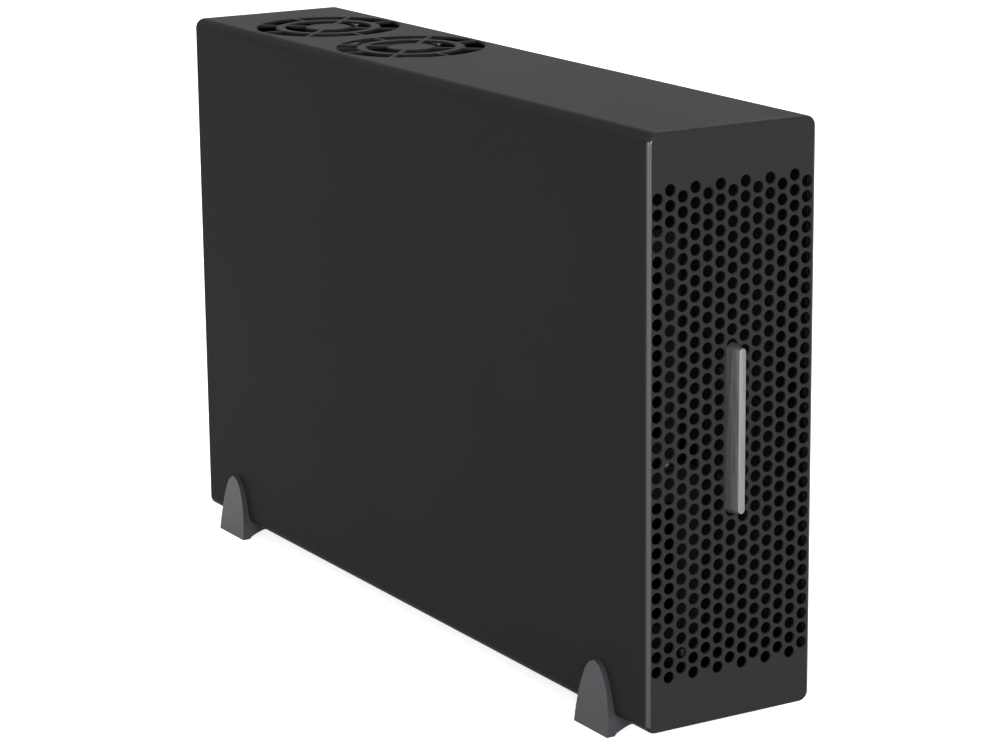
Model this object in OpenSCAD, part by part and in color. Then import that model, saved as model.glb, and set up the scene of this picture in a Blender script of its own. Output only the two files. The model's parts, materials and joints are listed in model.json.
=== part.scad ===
// Expansion chassis for plug-in cards: a narrow steel tower on four moulded feet.
// An inner chassis slides out of the case to the front. It carries the perforated
// front panel, the board with three card slots, the power supply and two fans.
// The origin is on the floor under the middle of the whole part.
// X runs across, Y from the front to the rear and Z up, in millimetres.

/* [Case] */
// Width of the case
case_w = 89; // [88:0.5:110]
// Depth of the case with its front panel
case_d = 440; // [430:1:520]
// Height of the case without its feet
case_h = 272; // [262:1:340]
// Wall of the case
case_wall = 1.2; // [0.8:0.1:2]
// Outer radius of the case's four long edges
case_r = 5; // [4.5:0.5:9]

/* [Front panel] */
// Thickness of the front panel
bezel_t = 3; // [2.5:0.1:5]
// Radius of the front panel's front edge
bezel_edge_r = 2; // [0.5:0.1:2.4]
// Diameter of a grille hole
hole_d = 5.5; // [4:0.1:5.8]
// Distance between two columns of grille holes
hole_pitch_x = 6.6; // [6.2:0.1:9]
// Distance between two holes of a column
hole_pitch_z = 6.9; // [6.5:0.1:9]
// Least plain margin beside the grille's hole centres
grille_side_margin = 4.5; // [3.5:0.1:12]
// Least plain margin above and below the grille's hole centres
grille_end_margin = 25; // [22:1:60]
// Length of the trim bar on the grille
trim_l = 78; // [40:1:120]
// Width of the trim bar
trim_w = 6; // [5:0.5:10]
// How far the trim bar stands out
trim_proud = 8; // [4:0.5:12]

/* [Feet] */
// Height of the case's underside above the floor
foot_lift = 8; // [6:0.5:20]
// Height of a foot's tip above the floor
foot_h = 33; // [28:1:60]
// Width of a foot along the case
foot_w = 28; // [26:1:50]
// How far a foot stands out from the case at the floor
foot_out = 4.8; // [4:0.1:9]
// How far a foot stands out from the case at its tip
foot_tip_out = 2.6; // [1.5:0.1:3.5]
// Distance from the front face to the middle of a front foot
foot_front_y = 40; // [30:1:80]
// Distance from the rear end to the middle of a rear foot
foot_rear_y = 34.5; // [30:1:80]

/* [Fans] */
// Side of a square top fan
fan_size = 80; // [78:0.5:82]
// Thickness of a top fan
fan_t = 25; // [24:1:30]
// Thinnest wall around a top fan's air hole
fan_wall = 2; // [1.6:0.1:2.5]
// Distance from the rear end to the middle of the rear fan
fan_rear_y = 68; // [55:1:90]
// Distance between the two top fans' axes
fan_pitch_y = 88.5; // [84:0.5:110]
// Outer radius of a fan grille's outer ring of slots
slot_outer_r = 37.5; // [34:0.5:38]
// Inner radius of a fan grille's outer ring of slots
slot_outer_r0 = 27.5; // [25:0.5:31]
// Outer radius of a fan grille's inner ring of slots
slot_inner_r = 22.5; // [18:0.5:23]
// Inner radius of a fan grille's inner ring of slots
slot_inner_r0 = 12; // [8:0.5:15]
// Width of a fan grille's spokes
spoke_w = 3; // [2:0.5:6]

/* [Inner chassis] */
// Thickness of the inner chassis's sheet steel
sheet = 1.2; // [0.8:0.1:1.6]
// Clearance between the inner chassis and the case
slide_gap = 0.3; // [0.2:0.05:0.6]
// Depth of the free bay behind the front panel's frame
front_bay = 56; // [56:1:100]

/* [Power supply] */
// Height of the power supply, which stands on its side
psu_h = 81.5; // [80:0.5:86]
// Width of the power supply
psu_w = 40.5; // [40:0.5:44]
// Length of the power supply
psu_l = 150; // [130:1:190]

/* [Hidden] */
$fn = 64;
// Overrun of a cut past the face that it opens
cut = 1;
// Radial clearance of a screw or shaft in its hole
fit = 0.05;
// Narrow joint between two pieces that part
seam = 0.3;

// Thumbscrews that lock the inner chassis in the case
knob_r = 5.5;
knob_l = 8;
knob_grips = 12;
knob_grip_r = 0.8;
thumb_shank_r = 1.6;
thumb_reach = 3.5;
ear_w = 14;
ear_h = 11;
lip_w = 4;

// Frame of the whole part
part_d = trim_proud + case_d + knob_l;
front_y = trim_proud - part_d / 2;
rear_y = front_y + case_d;
case_x = case_w / 2;
case_z0 = foot_lift;
case_z1 = case_z0 + case_h;
mid_z = (case_z0 + case_z1) / 2;
case_y0 = front_y + bezel_t + seam;
in_x = case_x - case_wall;
in_r = case_r - case_wall;

// Inner chassis: its outside, and the inside of its folded collars
ch_x = in_x - slide_gap;
ch_z0 = case_z0 + case_wall + slide_gap;
ch_z1 = case_z1 - case_wall - slide_gap;
ch_r = in_r - slide_gap;
ch_in_x = ch_x - sheet;
bend_r = ch_r - sheet;
tray_z = ch_z0 + sheet;
collar_d = 15;
collar_y0 = front_y + bezel_t;
collar_y1 = rear_y - case_wall - slide_gap;
rear_in_y = collar_y1 - sheet;
tray_y0 = collar_y0 + collar_d;
tray_y1 = collar_y1 - collar_d;
tray_lip = 12;
tongue_l = 10;
front_strip = 19;

// Screws, as radius of head, height of head and radius of shank
m3_head_r = 2.8;
m3_head_h = 1.8;
m3_r = 1.5;
m3_len = 5;

// Front panel grille, counted from its middle column
grille_cols = floor((case_x - grille_side_margin) / hole_pitch_x);
grille_rows = 2 * floor((case_h / 2 - grille_end_margin) / hole_pitch_z) + 1;
trim_edge = 1;
trim_peg_r = 2;
trim_peg_steps = 3.5;
trim_peg_z = trim_peg_steps * hole_pitch_z;
trim_nut_r = 4.5;
trim_nut_t = 1.2;
trim_peg_past = 3;
bezel_screw_x = 30;
bezel_screw_edge = 10;
bezel_screw_bite = 1.8;

// Feet
foot_steps = 18;
foot_arch_shares = [1.7, 0.5];
foot_lean_share = 1.6;
foot_hollow_share = 0.6;
foot_pad_in = 0.4;
foot_hollow_w = 8.3;
lug_t = 4;
lug_in = 22;
foot_screw_x = 15;
foot_screw_pitch = 14;
foot_head_h = 2;

// Card slots: the standard bracket and the seat of its tab above the board
slots = 3;
slot_pitch = 20.32;
bracket_w = 18.42;
bracket_h = 120.02;
bracket_t = 0.86;
bracket_tab = 11.43;
bracket_toe_w = 10.19;
bracket_toe_h = 7.5;
seat_h = 106;
window_w = 13;
window_h = 98;
window_drop = 8;
slot_screw_inset = 5;
pocket_d = 11;
pocket_gap = 0.5;
pocket_side = 2.3;
pocket_x = (slots - 1) / 2 * slot_pitch + bracket_w / 2 + pocket_side;
shelf_gap = 1;
board_gap = 4;
pocket_flange = 7;
pocket_above = 9;
cover_lap = 6;

// Power supply
psu_wall = 1;
psu_side_gap = 0.5;
psu_x0 = -ch_in_x + psu_side_gap;
psu_x1 = psu_x0 + psu_w;
psu_x = (psu_x0 + psu_x1) / 2;
psu_z0 = tray_z;
psu_z1 = psu_z0 + psu_h;
psu_y0 = rear_in_y - psu_l;
psu_rim = 2;
psu_vent_w = 3;
psu_vent_pitch = 7;
psu_vents = 8;
psu_vent_edge = 6;

// Power inlet, rocker switch and the power supply's own fan, from the bottom up
inlet_w = 27;
inlet_h = 20;
inlet_flange = 1.5;
inlet_flange_t = 2;
inlet_d = 20;
inlet_wall = 1.6;
inlet_depth = 16;
inlet_gap = 0.8;
inlet_z = case_z0 + case_wall + lip_w + inlet_gap + inlet_flange + inlet_h / 2;
pin_w = 4;
pin_t = 2;
pin_pitch = 7;
pin_rise = 2;
pin_short = 3;
switch_w = 19;
switch_h = 10;
switch_wall = 1.2;
switch_flange = 1;
switch_d = 12;
switch_gap = 1;
switch_z = inlet_z + inlet_h / 2 + inlet_flange + switch_gap + switch_flange + switch_h / 2;
rocker_tilt = 8;
rocker_gap = 0.3;
rocker_pin_r = 1;
rocker_pin_l = 1;
rocker_in = 3;
rocker_rise = 2.2;
rocker_dip = 1.2;
psu_fan = 40;
psu_fan_t = 20;
psu_fan_gap = 0.5;
psu_fan_z = psu_z1 - psu_wall - psu_fan_gap - psu_fan / 2;
psu_ring_w = 4;
psu_rings = 3;
psu_fan_pitch = 32;
psu_fan_wall = 1.5;
psu_hub_r = 8;
psu_blades = 5;
psu_struts = 3;
psu_head_r = 2.1;
psu_foot_shares = [0.1, 0.8];
sink_head_h = 1.1;

// Board shelf above the power supply, and the boards
pocket_z0 = psu_z1 + pocket_gap + sheet;
bracket_z0 = pocket_z0 + pocket_gap;
ledge_z = bracket_z0 + bracket_h - bracket_t;
pocket_z1 = ledge_z + bracket_t + pocket_above;
plate_y1 = rear_in_y - pocket_d;
plate_y0 = plate_y1 - sheet;
bracket_y0 = plate_y0 - bracket_t;
board_t = 1.6;
standoff_h = 6;
board_z1 = ledge_z - seat_h;
board_z0 = board_z1 - board_t;
shelf_z1 = board_z0 - standoff_h;
shelf_z0 = shelf_z1 - sheet;
shelf_y1 = bracket_y0 - shelf_gap;
rail_d = 12;
rail_w = 8;
rail_groove = 2;
rail_bite = 6;
rail_foot = 6;
rail_drop = 12;
shelf_front = 2;
leg_foot = 12;
leg_rim = 14;
shelf_y0 = tray_y0 + front_bay + leg_foot;
guide_y0 = shelf_y0 + leg_foot + shelf_front;
guide_y1 = guide_y0 + rail_d;
shelf_x = ch_in_x;
leg_x = shelf_x - bend_r;
shelf_lip = 11;
board_x = 38;
board_l = 180;
board_y1 = bracket_y0 - board_gap;
board_y0 = board_y1 - board_l;
standoff_r = 3;
standoff_edge = 5;
connector_l = 89;
connector_w = 7.5;
connector_h = 11.25;
connector_slit = 1.8;
connector_deep = 8;
connector_set = 46;
connector_off = 6;
connector_key = 11.5;
key_w = 1.6;

// Controller board beside the power supply
ctl_lift = 14;
ctl_gap = 2.5;
ctl_x0 = psu_x1 + ctl_gap;
ctl_x1 = ch_in_x - ctl_gap;
ctl_x = (ctl_x0 + ctl_x1) / 2;
ctl_z0 = tray_z + ctl_lift;
ctl_z1 = ctl_z0 + board_t;
ctl_y1 = rear_in_y - shelf_gap;
ctl_l = 130;
ctl_y0 = ctl_y1 - ctl_l;
port_w = 9;
port_h = 5.6;
port_d = 14;
port_wall = 0.7;
port_out = 1;
port_pitch = 18;
tongue_w = 5;
tongue_t = 1;
light_r = 1.5;
light_l = 6;
sink_l = 34;
sink_w = 30;
sink_h = 16;
sink_base = 4;
sink_fins = 7;
fin_t = 1.2;
ribbon_w = 26;
ribbon_t = 1.5;
ribbon_in = 24;
ribbon_y = ctl_y0 + ribbon_in;
header_w = 6;
header_h = 9;
ribbon_slit = 12;

// Fan deck and the fans' own parts
deck_drop = 4;
deck_z1 = ch_z1 - deck_drop;
deck_z0 = deck_z1 - sheet;
fan_z1 = deck_z0;
fan_z0 = fan_z1 - fan_t;
fan_y = [rear_y - fan_rear_y, rear_y - fan_rear_y - fan_pitch_y];
fan_bore = fan_size - 2 * fan_wall;
fan_screw_inset = 4.25;
fan_screw_pitch = fan_size - 2 * fan_screw_inset;
fan_corner_r = 4;
fan_hub_r = 17;
fan_hub_wall = 1.5;
fan_base_t = 3;
strut_w = 4;
struts = 4;
tube_r = 4.5;
tube_share = 0.6;
shaft_r = 1.5;
blades = 7;
blade_t = 1.3;
blade_chord = 22;
blade_pitch = 40;
rotor_gap = 1;
stator_r = 13;
stator_h = 9;
fan_screw_r = 2.1;

// Leads and the power harness
lead_r = 1.8;
lead_inset = 5;
lead_y = 26;
plug_h = 8;
harness_r = 5;
harness_bend = 16;
harness_out = 34;
power_w = 22;
power_d = 10;
power_h = 12;
harness_hole = 1.5;
harness_rise = 6;

// Rear vents
vent_d = 4;
vent_pitch = 6;
vent_cols = 11;
vent_edge = 9;

// Shapes that the pieces share

// A block between two corners
module block(x, y, z) {
    translate([x[0], y[0], z[0]])
        cube([x[1] - x[0], y[1] - y[0], z[1] - z[0]]);
}

// An outline in X and Z, drawn out along Y
module along_y(y0, y1) {
    translate([0, y1, 0])
        rotate([90, 0, 0])
            linear_extrude(y1 - y0)
                children();
}

// An outline in Y and Z, drawn out along X
module along_x(x0, x1) {
    translate([x0, 0, 0])
        rotate([90, 0, 90])
            linear_extrude(x1 - x0)
                children();
}

// Round bars along Y, Z and X
module bar_y(x, z, y0, y1, r) {
    translate([x, y1, z])
        rotate([90, 0, 0])
            cylinder(h = y1 - y0, r = r);
}

module bar_z(x, y, z0, z1, r) {
    translate([x, y, z0])
        cylinder(h = z1 - z0, r = r);
}

module bar_x(y, z, x0, x1, r) {
    translate([x0, y, z])
        rotate([0, 90, 0])
            cylinder(h = x1 - x0, r = r);
}

// A rectangle from -x to x and from z0 to z1 with round corners
module round_rect(x, z0, z1, r) {
    difference() {
        translate([-x, z0])
            square([2 * x, z1 - z0]);
        for (side = [-1, 1], end = [0, 1])
            translate([side * x, end ? z1 : z0])
                mirror([side > 0 ? 1 : 0, 0])
                    mirror([0, end])
                        difference() {
                            translate([-cut, -cut])
                                square([r + cut, r + cut]);
                            translate([r, r])
                                circle(r = r);
                        }
    }
}

// A screw whose head stands on the plane z = 0, with its shank below
module pan_screw(len, head_r = m3_head_r, head_h = m3_head_h, r = m3_r) {
    cylinder(h = head_h, r = head_r);
    translate([0, 0, -len])
        cylinder(h = len + head_h / 2, r = r);
}

// Case and feet

function column_rows(c) = abs(c) % 2 == 0 ? grille_rows - 1 : grille_rows;

module ring_slots(r0, r1, spokes, turn) {
    difference() {
        circle(r = r1);
        circle(r = r0);
        for (k = [0:spokes - 1])
            rotate(turn + k * 360 / spokes)
                translate([0, -spoke_w / 2])
                    square([r1 + cut, spoke_w]);
    }
}

module fan_grille_cut(y) {
    translate([0, y, case_z1 - case_wall - cut])
        linear_extrude(case_wall + 2 * cut) {
            ring_slots(slot_outer_r0, slot_outer_r, 8, 0);
            ring_slots(slot_inner_r0, slot_inner_r, 4, 45);
        }
}

// The two thumbscrews, as x and z. The lower one stands beside the power supply.
thumb_xz = [[0, ch_z1 - sheet - ear_h / 2], [ctl_x, tray_z + ear_h / 2 - sheet]];

module outer_case() color([0.17, 0.17, 0.17]) {
    difference() {
        along_y(case_y0, rear_y)
            round_rect(case_x, case_z0, case_z1, case_r);
        along_y(case_y0 - cut, rear_y - case_wall)
            round_rect(in_x, case_z0 + case_wall, case_z1 - case_wall, in_r);
        difference() {
            along_y(rear_y - case_wall - cut, rear_y + cut)
                round_rect(in_x - lip_w, case_z0 + case_wall + lip_w, case_z1 - case_wall - lip_w, in_r);
            for (p = thumb_xz)
                block([p[0] - ear_w / 2, p[0] + ear_w / 2],
                      [rear_y - case_wall - 2 * cut, rear_y + 2 * cut],
                      p[1] > mid_z ? [p[1] - ear_h / 2, case_z1] : [case_z0, p[1] + ear_h / 2]);
        }
        for (p = thumb_xz)
            bar_y(p[0], p[1], rear_y - case_wall - cut, rear_y + cut, thumb_shank_r + fit);
        for (y = fan_y)
            fan_grille_cut(y);
        for (p = foot_screw_places())
            bar_z(p[0], p[1], case_z0 - cut, case_z0 + case_wall + cut, m3_r + fit);
    }
}

// Outer face of a foot: how far it stands out, at a share of its height
function foot_face(t) = foot_tip_out + (foot_out - foot_tip_out) * pow(1 - t, foot_lean_share);
function foot_half(t) = foot_w / 2 * pow(1 - pow(t, foot_arch_shares[0]), foot_arch_shares[1]);
function foot_y(end) = end == 0 ? front_y + foot_front_y : rear_y - foot_rear_y;
function foot_screw_places() = [
    for (side = [-1, 1], end = [0, 1], k = [-1, 1])
        [side * (case_x - foot_screw_x), foot_y(end) + k * foot_screw_pitch / 2]
];

// Section of a foot across the case, as distance in from the case's side and height
module foot_section() {
    polygon([
        for (i = [0:foot_steps])
            [-foot_face(i / foot_steps), i / foot_steps * foot_h],
        [case_r, foot_h],
        [lug_in, case_z0 + case_r],
        [lug_in, case_z0 - lug_t],
        for (i = [foot_steps:-1:0])
            let (s = i / foot_steps)
            [foot_hollow_w * s - foot_pad_in, (foot_lift - lug_t) * pow(s, foot_hollow_share)]
    ]);
}

// Pointed arch of a foot, seen from the side
module foot_arch() {
    polygon([
        for (i = [0:foot_steps]) [-foot_half(i / foot_steps), i / foot_steps * foot_h],
        for (i = [foot_steps - 1:-1:0]) [foot_half(i / foot_steps), i / foot_steps * foot_h]
    ]);
}

// A foot on the left side, or its mirror image on the right
module foot(side, end) color([0.33, 0.33, 0.35]) {
    mirror([side > 0 ? 1 : 0, 0, 0])
        difference() {
            intersection() {
                translate([-case_x, foot_y(end), 0])
                    along_y(-foot_w, foot_w)
                        foot_section();
                translate([0, foot_y(end), 0])
                    along_x(-case_x - foot_w, 0)
                        foot_arch();
            }
            along_y(foot_y(end) - foot_w, foot_y(end) + foot_w)
                round_rect(case_x, case_z0, case_z1, case_r);
            for (k = [-1, 1])
                translate([foot_screw_x - case_x, foot_y(end) + k * foot_screw_pitch / 2, 0]) {
                    bar_z(0, 0, 0, case_z0 + cut, m3_r + fit);
                    bar_z(0, 0, 0, case_z0 - lug_t + foot_head_h, m3_head_r + fit);
                }
        }
}

module foot_front_left() foot(-1, 0);
module foot_front_right() foot(1, 0);
module foot_rear_left() foot(-1, 1);
module foot_rear_right() foot(1, 1);

module foot_screws() color([0.6, 0.6, 0.62]) {
    for (p = foot_screw_places())
        translate([p[0], p[1], case_z0 - lug_t + foot_head_h])
            mirror([0, 0, 1])
                pan_screw(lug_t - foot_head_h + case_wall);
}

// A knurled thumbscrew, undone by drawing it back
module thumbscrew(p) color([0.62, 0.62, 0.64]) {
    translate([p[0], rear_y, p[1]])
        rotate([-90, 0, 0]) {
            difference() {
                cylinder(h = knob_l, r = knob_r);
                for (k = [0:knob_grips - 1])
                    rotate(k * 360 / knob_grips)
                        translate([knob_r, 0, knob_l / 4])
                            cylinder(h = knob_l, r = knob_grip_r);
                translate([0, 0, knob_l - 2 * knob_grip_r])
                    cube([knob_r, knob_grip_r, 4 * knob_grip_r], center = true);
            }
            translate([0, 0, -thumb_shank_len()])
                cylinder(h = thumb_shank_len() + cut, r = thumb_shank_r);
        }
}

function thumb_shank_len() = case_wall + slide_gap + sheet + thumb_reach;

module thumbscrew_top() thumbscrew(thumb_xz[0]);
module thumbscrew_bottom() thumbscrew(thumb_xz[1]);

// Front panel and trim

module grille_holes() {
    for (c = [-grille_cols:grille_cols], i = [0:column_rows(c) - 1])
        bar_y(c * hole_pitch_x, mid_z + (i - (column_rows(c) - 1) / 2) * hole_pitch_z,
              front_y - cut, front_y + bezel_t + cut, hole_d / 2);
}

// The front panel seen along an edge, with its two front corners rounded
module edge_profile(low, high) {
    difference() {
        translate([low, front_y])
            square([high - low, bezel_t]);
        for (side = [0, 1])
            translate([side ? high : low, front_y])
                mirror([side, 0])
                    difference() {
                        translate([-cut, -cut])
                            square([bezel_edge_r + cut, bezel_edge_r + cut]);
                        translate([bezel_edge_r, bezel_edge_r])
                            circle(r = bezel_edge_r);
                    }
    }
}

bezel_screw_places = [
    for (side = [-1, 1], z = [ch_z0 + bezel_screw_edge, ch_z1 - bezel_screw_edge])
        [side * bezel_screw_x, z]
];

module front_bezel() color([0.2, 0.2, 0.2]) {
    difference() {
        intersection() {
            along_y(front_y, front_y + bezel_t)
                round_rect(case_x, case_z0, case_z1, case_r);
            translate([0, 0, case_z0])
                linear_extrude(case_h)
                    edge_profile(-case_x, case_x);
            translate([-case_x, 0, 0])
                rotate([0, 90, 0])
                    linear_extrude(case_w)
                        mirror([1, 0])
                            edge_profile(case_z0, case_z1);
        }
        grille_holes();
        for (p = bezel_screw_places)
            bar_y(p[0], p[1], front_y + bezel_t - bezel_screw_bite, front_y + bezel_t + cut, m3_r + fit);
    }
}

module bezel_screws() color([0.6, 0.6, 0.62]) {
    for (p = bezel_screw_places)
        translate([p[0], collar_y0 + sheet, p[1]])
            rotate([-90, 0, 0])
                pan_screw(sheet + bezel_screw_bite);
}

module capsule(w, l) {
    translate([-w / 2, -(l - w) / 2])
        square([w, l - w]);
    for (end = [-1, 1])
        translate([0, end * (l - w) / 2])
            circle(d = w);
}

// The plain bar has a narrower crown, and two pegs that pass through the grille
module trim_bar() color([0.72, 0.72, 0.73]) {
    translate([0, 0, mid_z]) {
        along_y(front_y - trim_proud + trim_edge, front_y)
            capsule(trim_w, trim_l);
        along_y(front_y - trim_proud, front_y - trim_proud + trim_edge)
            capsule(trim_w - 2 * trim_edge, trim_l - 2 * trim_edge);
    }
    for (end = [-1, 1])
        bar_y(0, mid_z + end * trim_peg_z,
              front_y - trim_edge, front_y + bezel_t + trim_peg_past, trim_peg_r);
}

module trim_nuts() color([0.55, 0.55, 0.57]) {
    for (end = [-1, 1])
        difference() {
            bar_y(0, mid_z + end * trim_peg_z, front_y + bezel_t, front_y + bezel_t + trim_nut_t, trim_nut_r);
            bar_y(0, mid_z + end * trim_peg_z, front_y, front_y + bezel_t + 2 * trim_nut_t, trim_peg_r + fit);
        }
}

// Inner chassis

// A collar folded from sheet, open at both ends
module collar(y0, y1) {
    difference() {
        along_y(y0, y1)
            round_rect(ch_x, ch_z0, ch_z1, ch_r);
        along_y(y0 - cut, y1 + cut)
            round_rect(ch_in_x, tray_z, ch_z1 - sheet, bend_r);
    }
}

// Screws that hold the tray's and the deck's tongues in the two collars
tongue_screw_x = 20;
front_tongue_y = tray_y0 - tongue_l / 2;
rear_tongue_y = tray_y1 + tongue_l / 2;
low_screw_places = [
    [-tongue_screw_x, front_tongue_y], [tongue_screw_x, front_tongue_y],
    [ctl_x - tongue_l, rear_tongue_y], [ctl_x + tongue_l, rear_tongue_y]
];
high_screw_places = [
    for (side = [-1, 1], y = [front_tongue_y, rear_tongue_y]) [side * tongue_screw_x, y]
];

module frame_screw_holes() {
    for (p = low_screw_places)
        bar_z(p[0], p[1], ch_z0 - cut, tray_z + sheet + cut, m3_r + fit);
    for (p = high_screw_places)
        bar_z(p[0], p[1], ch_z1 - 2 * sheet - cut, ch_z1 + cut, m3_r + fit);
}

module frame_screws() color([0.6, 0.6, 0.62]) {
    for (p = low_screw_places)
        translate([p[0], p[1], tray_z + sheet])
            pan_screw(2 * sheet);
    for (p = high_screw_places)
        translate([p[0], p[1], ch_z1 - 2 * sheet])
            mirror([0, 0, 1])
                pan_screw(2 * sheet);
}

module front_frame() color([0.35, 0.36, 0.37]) {
    difference() {
        union() {
            collar(collar_y0, tray_y0);
            for (z = [[ch_z0 + ch_r, ch_z0 + front_strip], [ch_z1 - front_strip, ch_z1 - ch_r]])
                block([-ch_in_x - sheet / 2, ch_in_x + sheet / 2], [collar_y0, collar_y0 + sheet], z);
            for (z = [[ch_z0 + sheet / 2, ch_z0 + ch_r], [ch_z1 - ch_r, ch_z1 - sheet / 2]])
                block([ch_r - ch_x, ch_x - ch_r], [collar_y0, collar_y0 + sheet], z);
        }
        for (p = bezel_screw_places)
            bar_y(p[0], p[1], collar_y0 - cut, collar_y0 + sheet + cut, m3_r + fit);
        frame_screw_holes();
    }
}

// The tray's floor and its two lips, as an outline in X and Z
module tray_section() {
    intersection() {
        difference() {
            round_rect(ch_x, ch_z0, ch_z1, ch_r);
            round_rect(ch_in_x, tray_z, ch_z1 - sheet, bend_r);
        }
        translate([-ch_x - cut, ch_z0 - cut])
            square([2 * (ch_x + cut), tray_lip + cut]);
    }
}

// Two countersunk screws hold the power supply on the tray
psu_foot_places = [for (share = psu_foot_shares) [psu_x, psu_y0 + psu_l * share]];

module countersunk_screw(x, y, gap) {
    bar_z(x, y, ch_z0, tray_z + psu_wall, m3_r + gap);
    translate([x, y, ch_z0])
        cylinder(h = sink_head_h, r1 = m3_r + sink_head_h + gap, r2 = m3_r + gap);
}

module chassis_tray() color([0.55, 0.56, 0.57]) {
    difference() {
        union() {
            along_y(tray_y0, tray_y1)
                tray_section();
            block([ch_r - ch_x, ch_x - ch_r], [tray_y0 - tongue_l, tray_y0 + tongue_l],
                  [tray_z, tray_z + sheet]);
            block([ctl_x0, ctl_x1 - ch_r], [tray_y1 - tongue_l, tray_y1 + tongue_l],
                  [tray_z, tray_z + sheet]);
        }
        frame_screw_holes();
        for (p = psu_foot_places)
            countersunk_screw(p[0], p[1], fit);
        for (p = leg_screw_places)
            bar_z(p[0], p[1], ch_z0 - cut, tray_z + cut, m3_r + fit);
    }
}

// The rear panel closes the inner chassis and fits behind the case's rear lip
port_x = [ctl_x - port_pitch / 2, ctl_x + port_pitch / 2];
port_z = ctl_z1 + port_h / 2;
cover_screw_places = [for (side = [-1, 1]) [side * (pocket_x - cover_lap), pocket_z1 + cover_lap / 2]];
flange_screw_places = [
    for (side = [-1, 1], z = [pocket_z0 + pocket_flange, ledge_z - pocket_flange])
        [side * (pocket_x + sheet + pocket_flange / 2), z]
];

vent_z1 = thumb_xz[0][1] - vent_edge;
vent_rows = 1 + floor((vent_z1 - pocket_z1 - cover_lap - vent_d) / vent_pitch);

module rear_panel() color([0.2, 0.2, 0.2]) {
    difference() {
        union() {
            along_y(rear_in_y, collar_y1)
                round_rect(ch_x, ch_z0, ch_z1, ch_r);
            collar(tray_y1, collar_y1);
        }
        block([psu_x0 + psu_rim, psu_x1 - psu_rim], [rear_in_y - cut, collar_y1 + cut],
              [psu_z0 + psu_rim, psu_z1 - psu_rim]);
        block([-pocket_x, pocket_x], [rear_in_y - cut, collar_y1 + cut], [pocket_z0, pocket_z1]);
        for (x = port_x)
            block([x - port_w / 2 - seam, x + port_w / 2 + seam], [rear_in_y - cut, collar_y1 + cut],
                  [port_z - port_h / 2 - seam, port_z + port_h / 2 + seam]);
        bar_y(ctl_x, port_z, rear_in_y - cut, collar_y1 + cut, light_r + fit);
        for (p = thumb_xz)
            bar_y(p[0], p[1], rear_in_y - cut, collar_y1 + cut, thumb_shank_r + fit);
        for (p = concat(cover_screw_places, flange_screw_places))
            bar_y(p[0], p[1], rear_in_y - cut, collar_y1 + cut, m3_r + fit);
        for (c = [0:vent_cols - 1], r = [0:vent_rows - 1])
            bar_y((c - (vent_cols - 1) / 2) * vent_pitch,
                  vent_z1 - r * vent_pitch,
                  rear_in_y - cut, collar_y1 + cut, vent_d / 2);
        frame_screw_holes();
        for (p = ear_screw_places)
            bar_x(p[0], p[1], -ch_x - cut, ch_x + cut, m3_r + fit);
    }
}

// The recessed frame that the card brackets screw to
slot_x = [for (i = [0:slots - 1]) (i - (slots - 1) / 2) * slot_pitch];

module slot_frame() color([0.5, 0.51, 0.52]) {
    side_x = pocket_x + sheet;
    difference() {
        union() {
            block([-side_x, side_x], [plate_y0, plate_y1], [pocket_z0 - sheet, ledge_z]);
            block([-side_x, side_x], [plate_y0, rear_in_y], [pocket_z0 - sheet, pocket_z0]);
            block([-side_x, side_x], [plate_y0, rear_in_y], [ledge_z - sheet, ledge_z]);
            for (side = [0, 1])
                mirror([side, 0, 0]) {
                    block([pocket_x, side_x], [plate_y0, rear_in_y], [pocket_z0 - sheet, ledge_z]);
                    block([pocket_x, pocket_x + pocket_flange], [rear_in_y - sheet, rear_in_y],
                          [pocket_z0, ledge_z]);
                }
        }
        for (x = slot_x) {
            block([x - window_w / 2, x + window_w / 2], [plate_y0 - cut, plate_y1 + cut],
                  [ledge_z - window_drop - window_h, ledge_z - window_drop]);
            bar_z(x, plate_y1 + slot_screw_inset, ledge_z - sheet - cut, ledge_z + cut, m3_r + fit);
        }
        for (p = flange_screw_places)
            bar_y(p[0], p[1], rear_in_y - sheet - cut, rear_in_y + cut, m3_r + fit);
    }
}

// A blank bracket that closes a slot
module slot_cover(x) color([0.75, 0.76, 0.77]) {
    difference() {
        union() {
            block([x - bracket_w / 2, x + bracket_w / 2], [bracket_y0, plate_y0],
                  [bracket_z0 + bracket_toe_h, ledge_z + bracket_t]);
            block([x - bracket_toe_w / 2, x + bracket_toe_w / 2], [bracket_y0, plate_y0],
                  [bracket_z0, bracket_z0 + 2 * bracket_toe_h]);
            block([x - bracket_w / 2, x + bracket_w / 2], [bracket_y0, bracket_y0 + bracket_tab],
                  [ledge_z, ledge_z + bracket_t]);
        }
        bar_z(x, plate_y1 + slot_screw_inset, ledge_z - cut, ledge_z + bracket_t + cut, m3_r + fit);
    }
}

module slot_cover_1() slot_cover(slot_x[0]);
module slot_cover_2() slot_cover(slot_x[1]);
module slot_cover_3() slot_cover(slot_x[2]);

module slot_screws() color([0.6, 0.6, 0.62]) {
    for (x = slot_x)
        translate([x, plate_y1 + slot_screw_inset, ledge_z + bracket_t])
            pan_screw(m3_len);
}

// A plate over the gap above the brackets' tabs, on the rear panel's inner face
module bracket_cover() color([0.5, 0.51, 0.52]) {
    difference() {
        block([-pocket_x, pocket_x], [rear_in_y - sheet, rear_in_y],
              [ledge_z + seam, pocket_z1 + cover_lap]);
        for (p = cover_screw_places)
            bar_y(p[0], p[1], rear_in_y - sheet - cut, rear_in_y + cut, m3_r + fit);
    }
}

// Board shelf, card guide and boards

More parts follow.
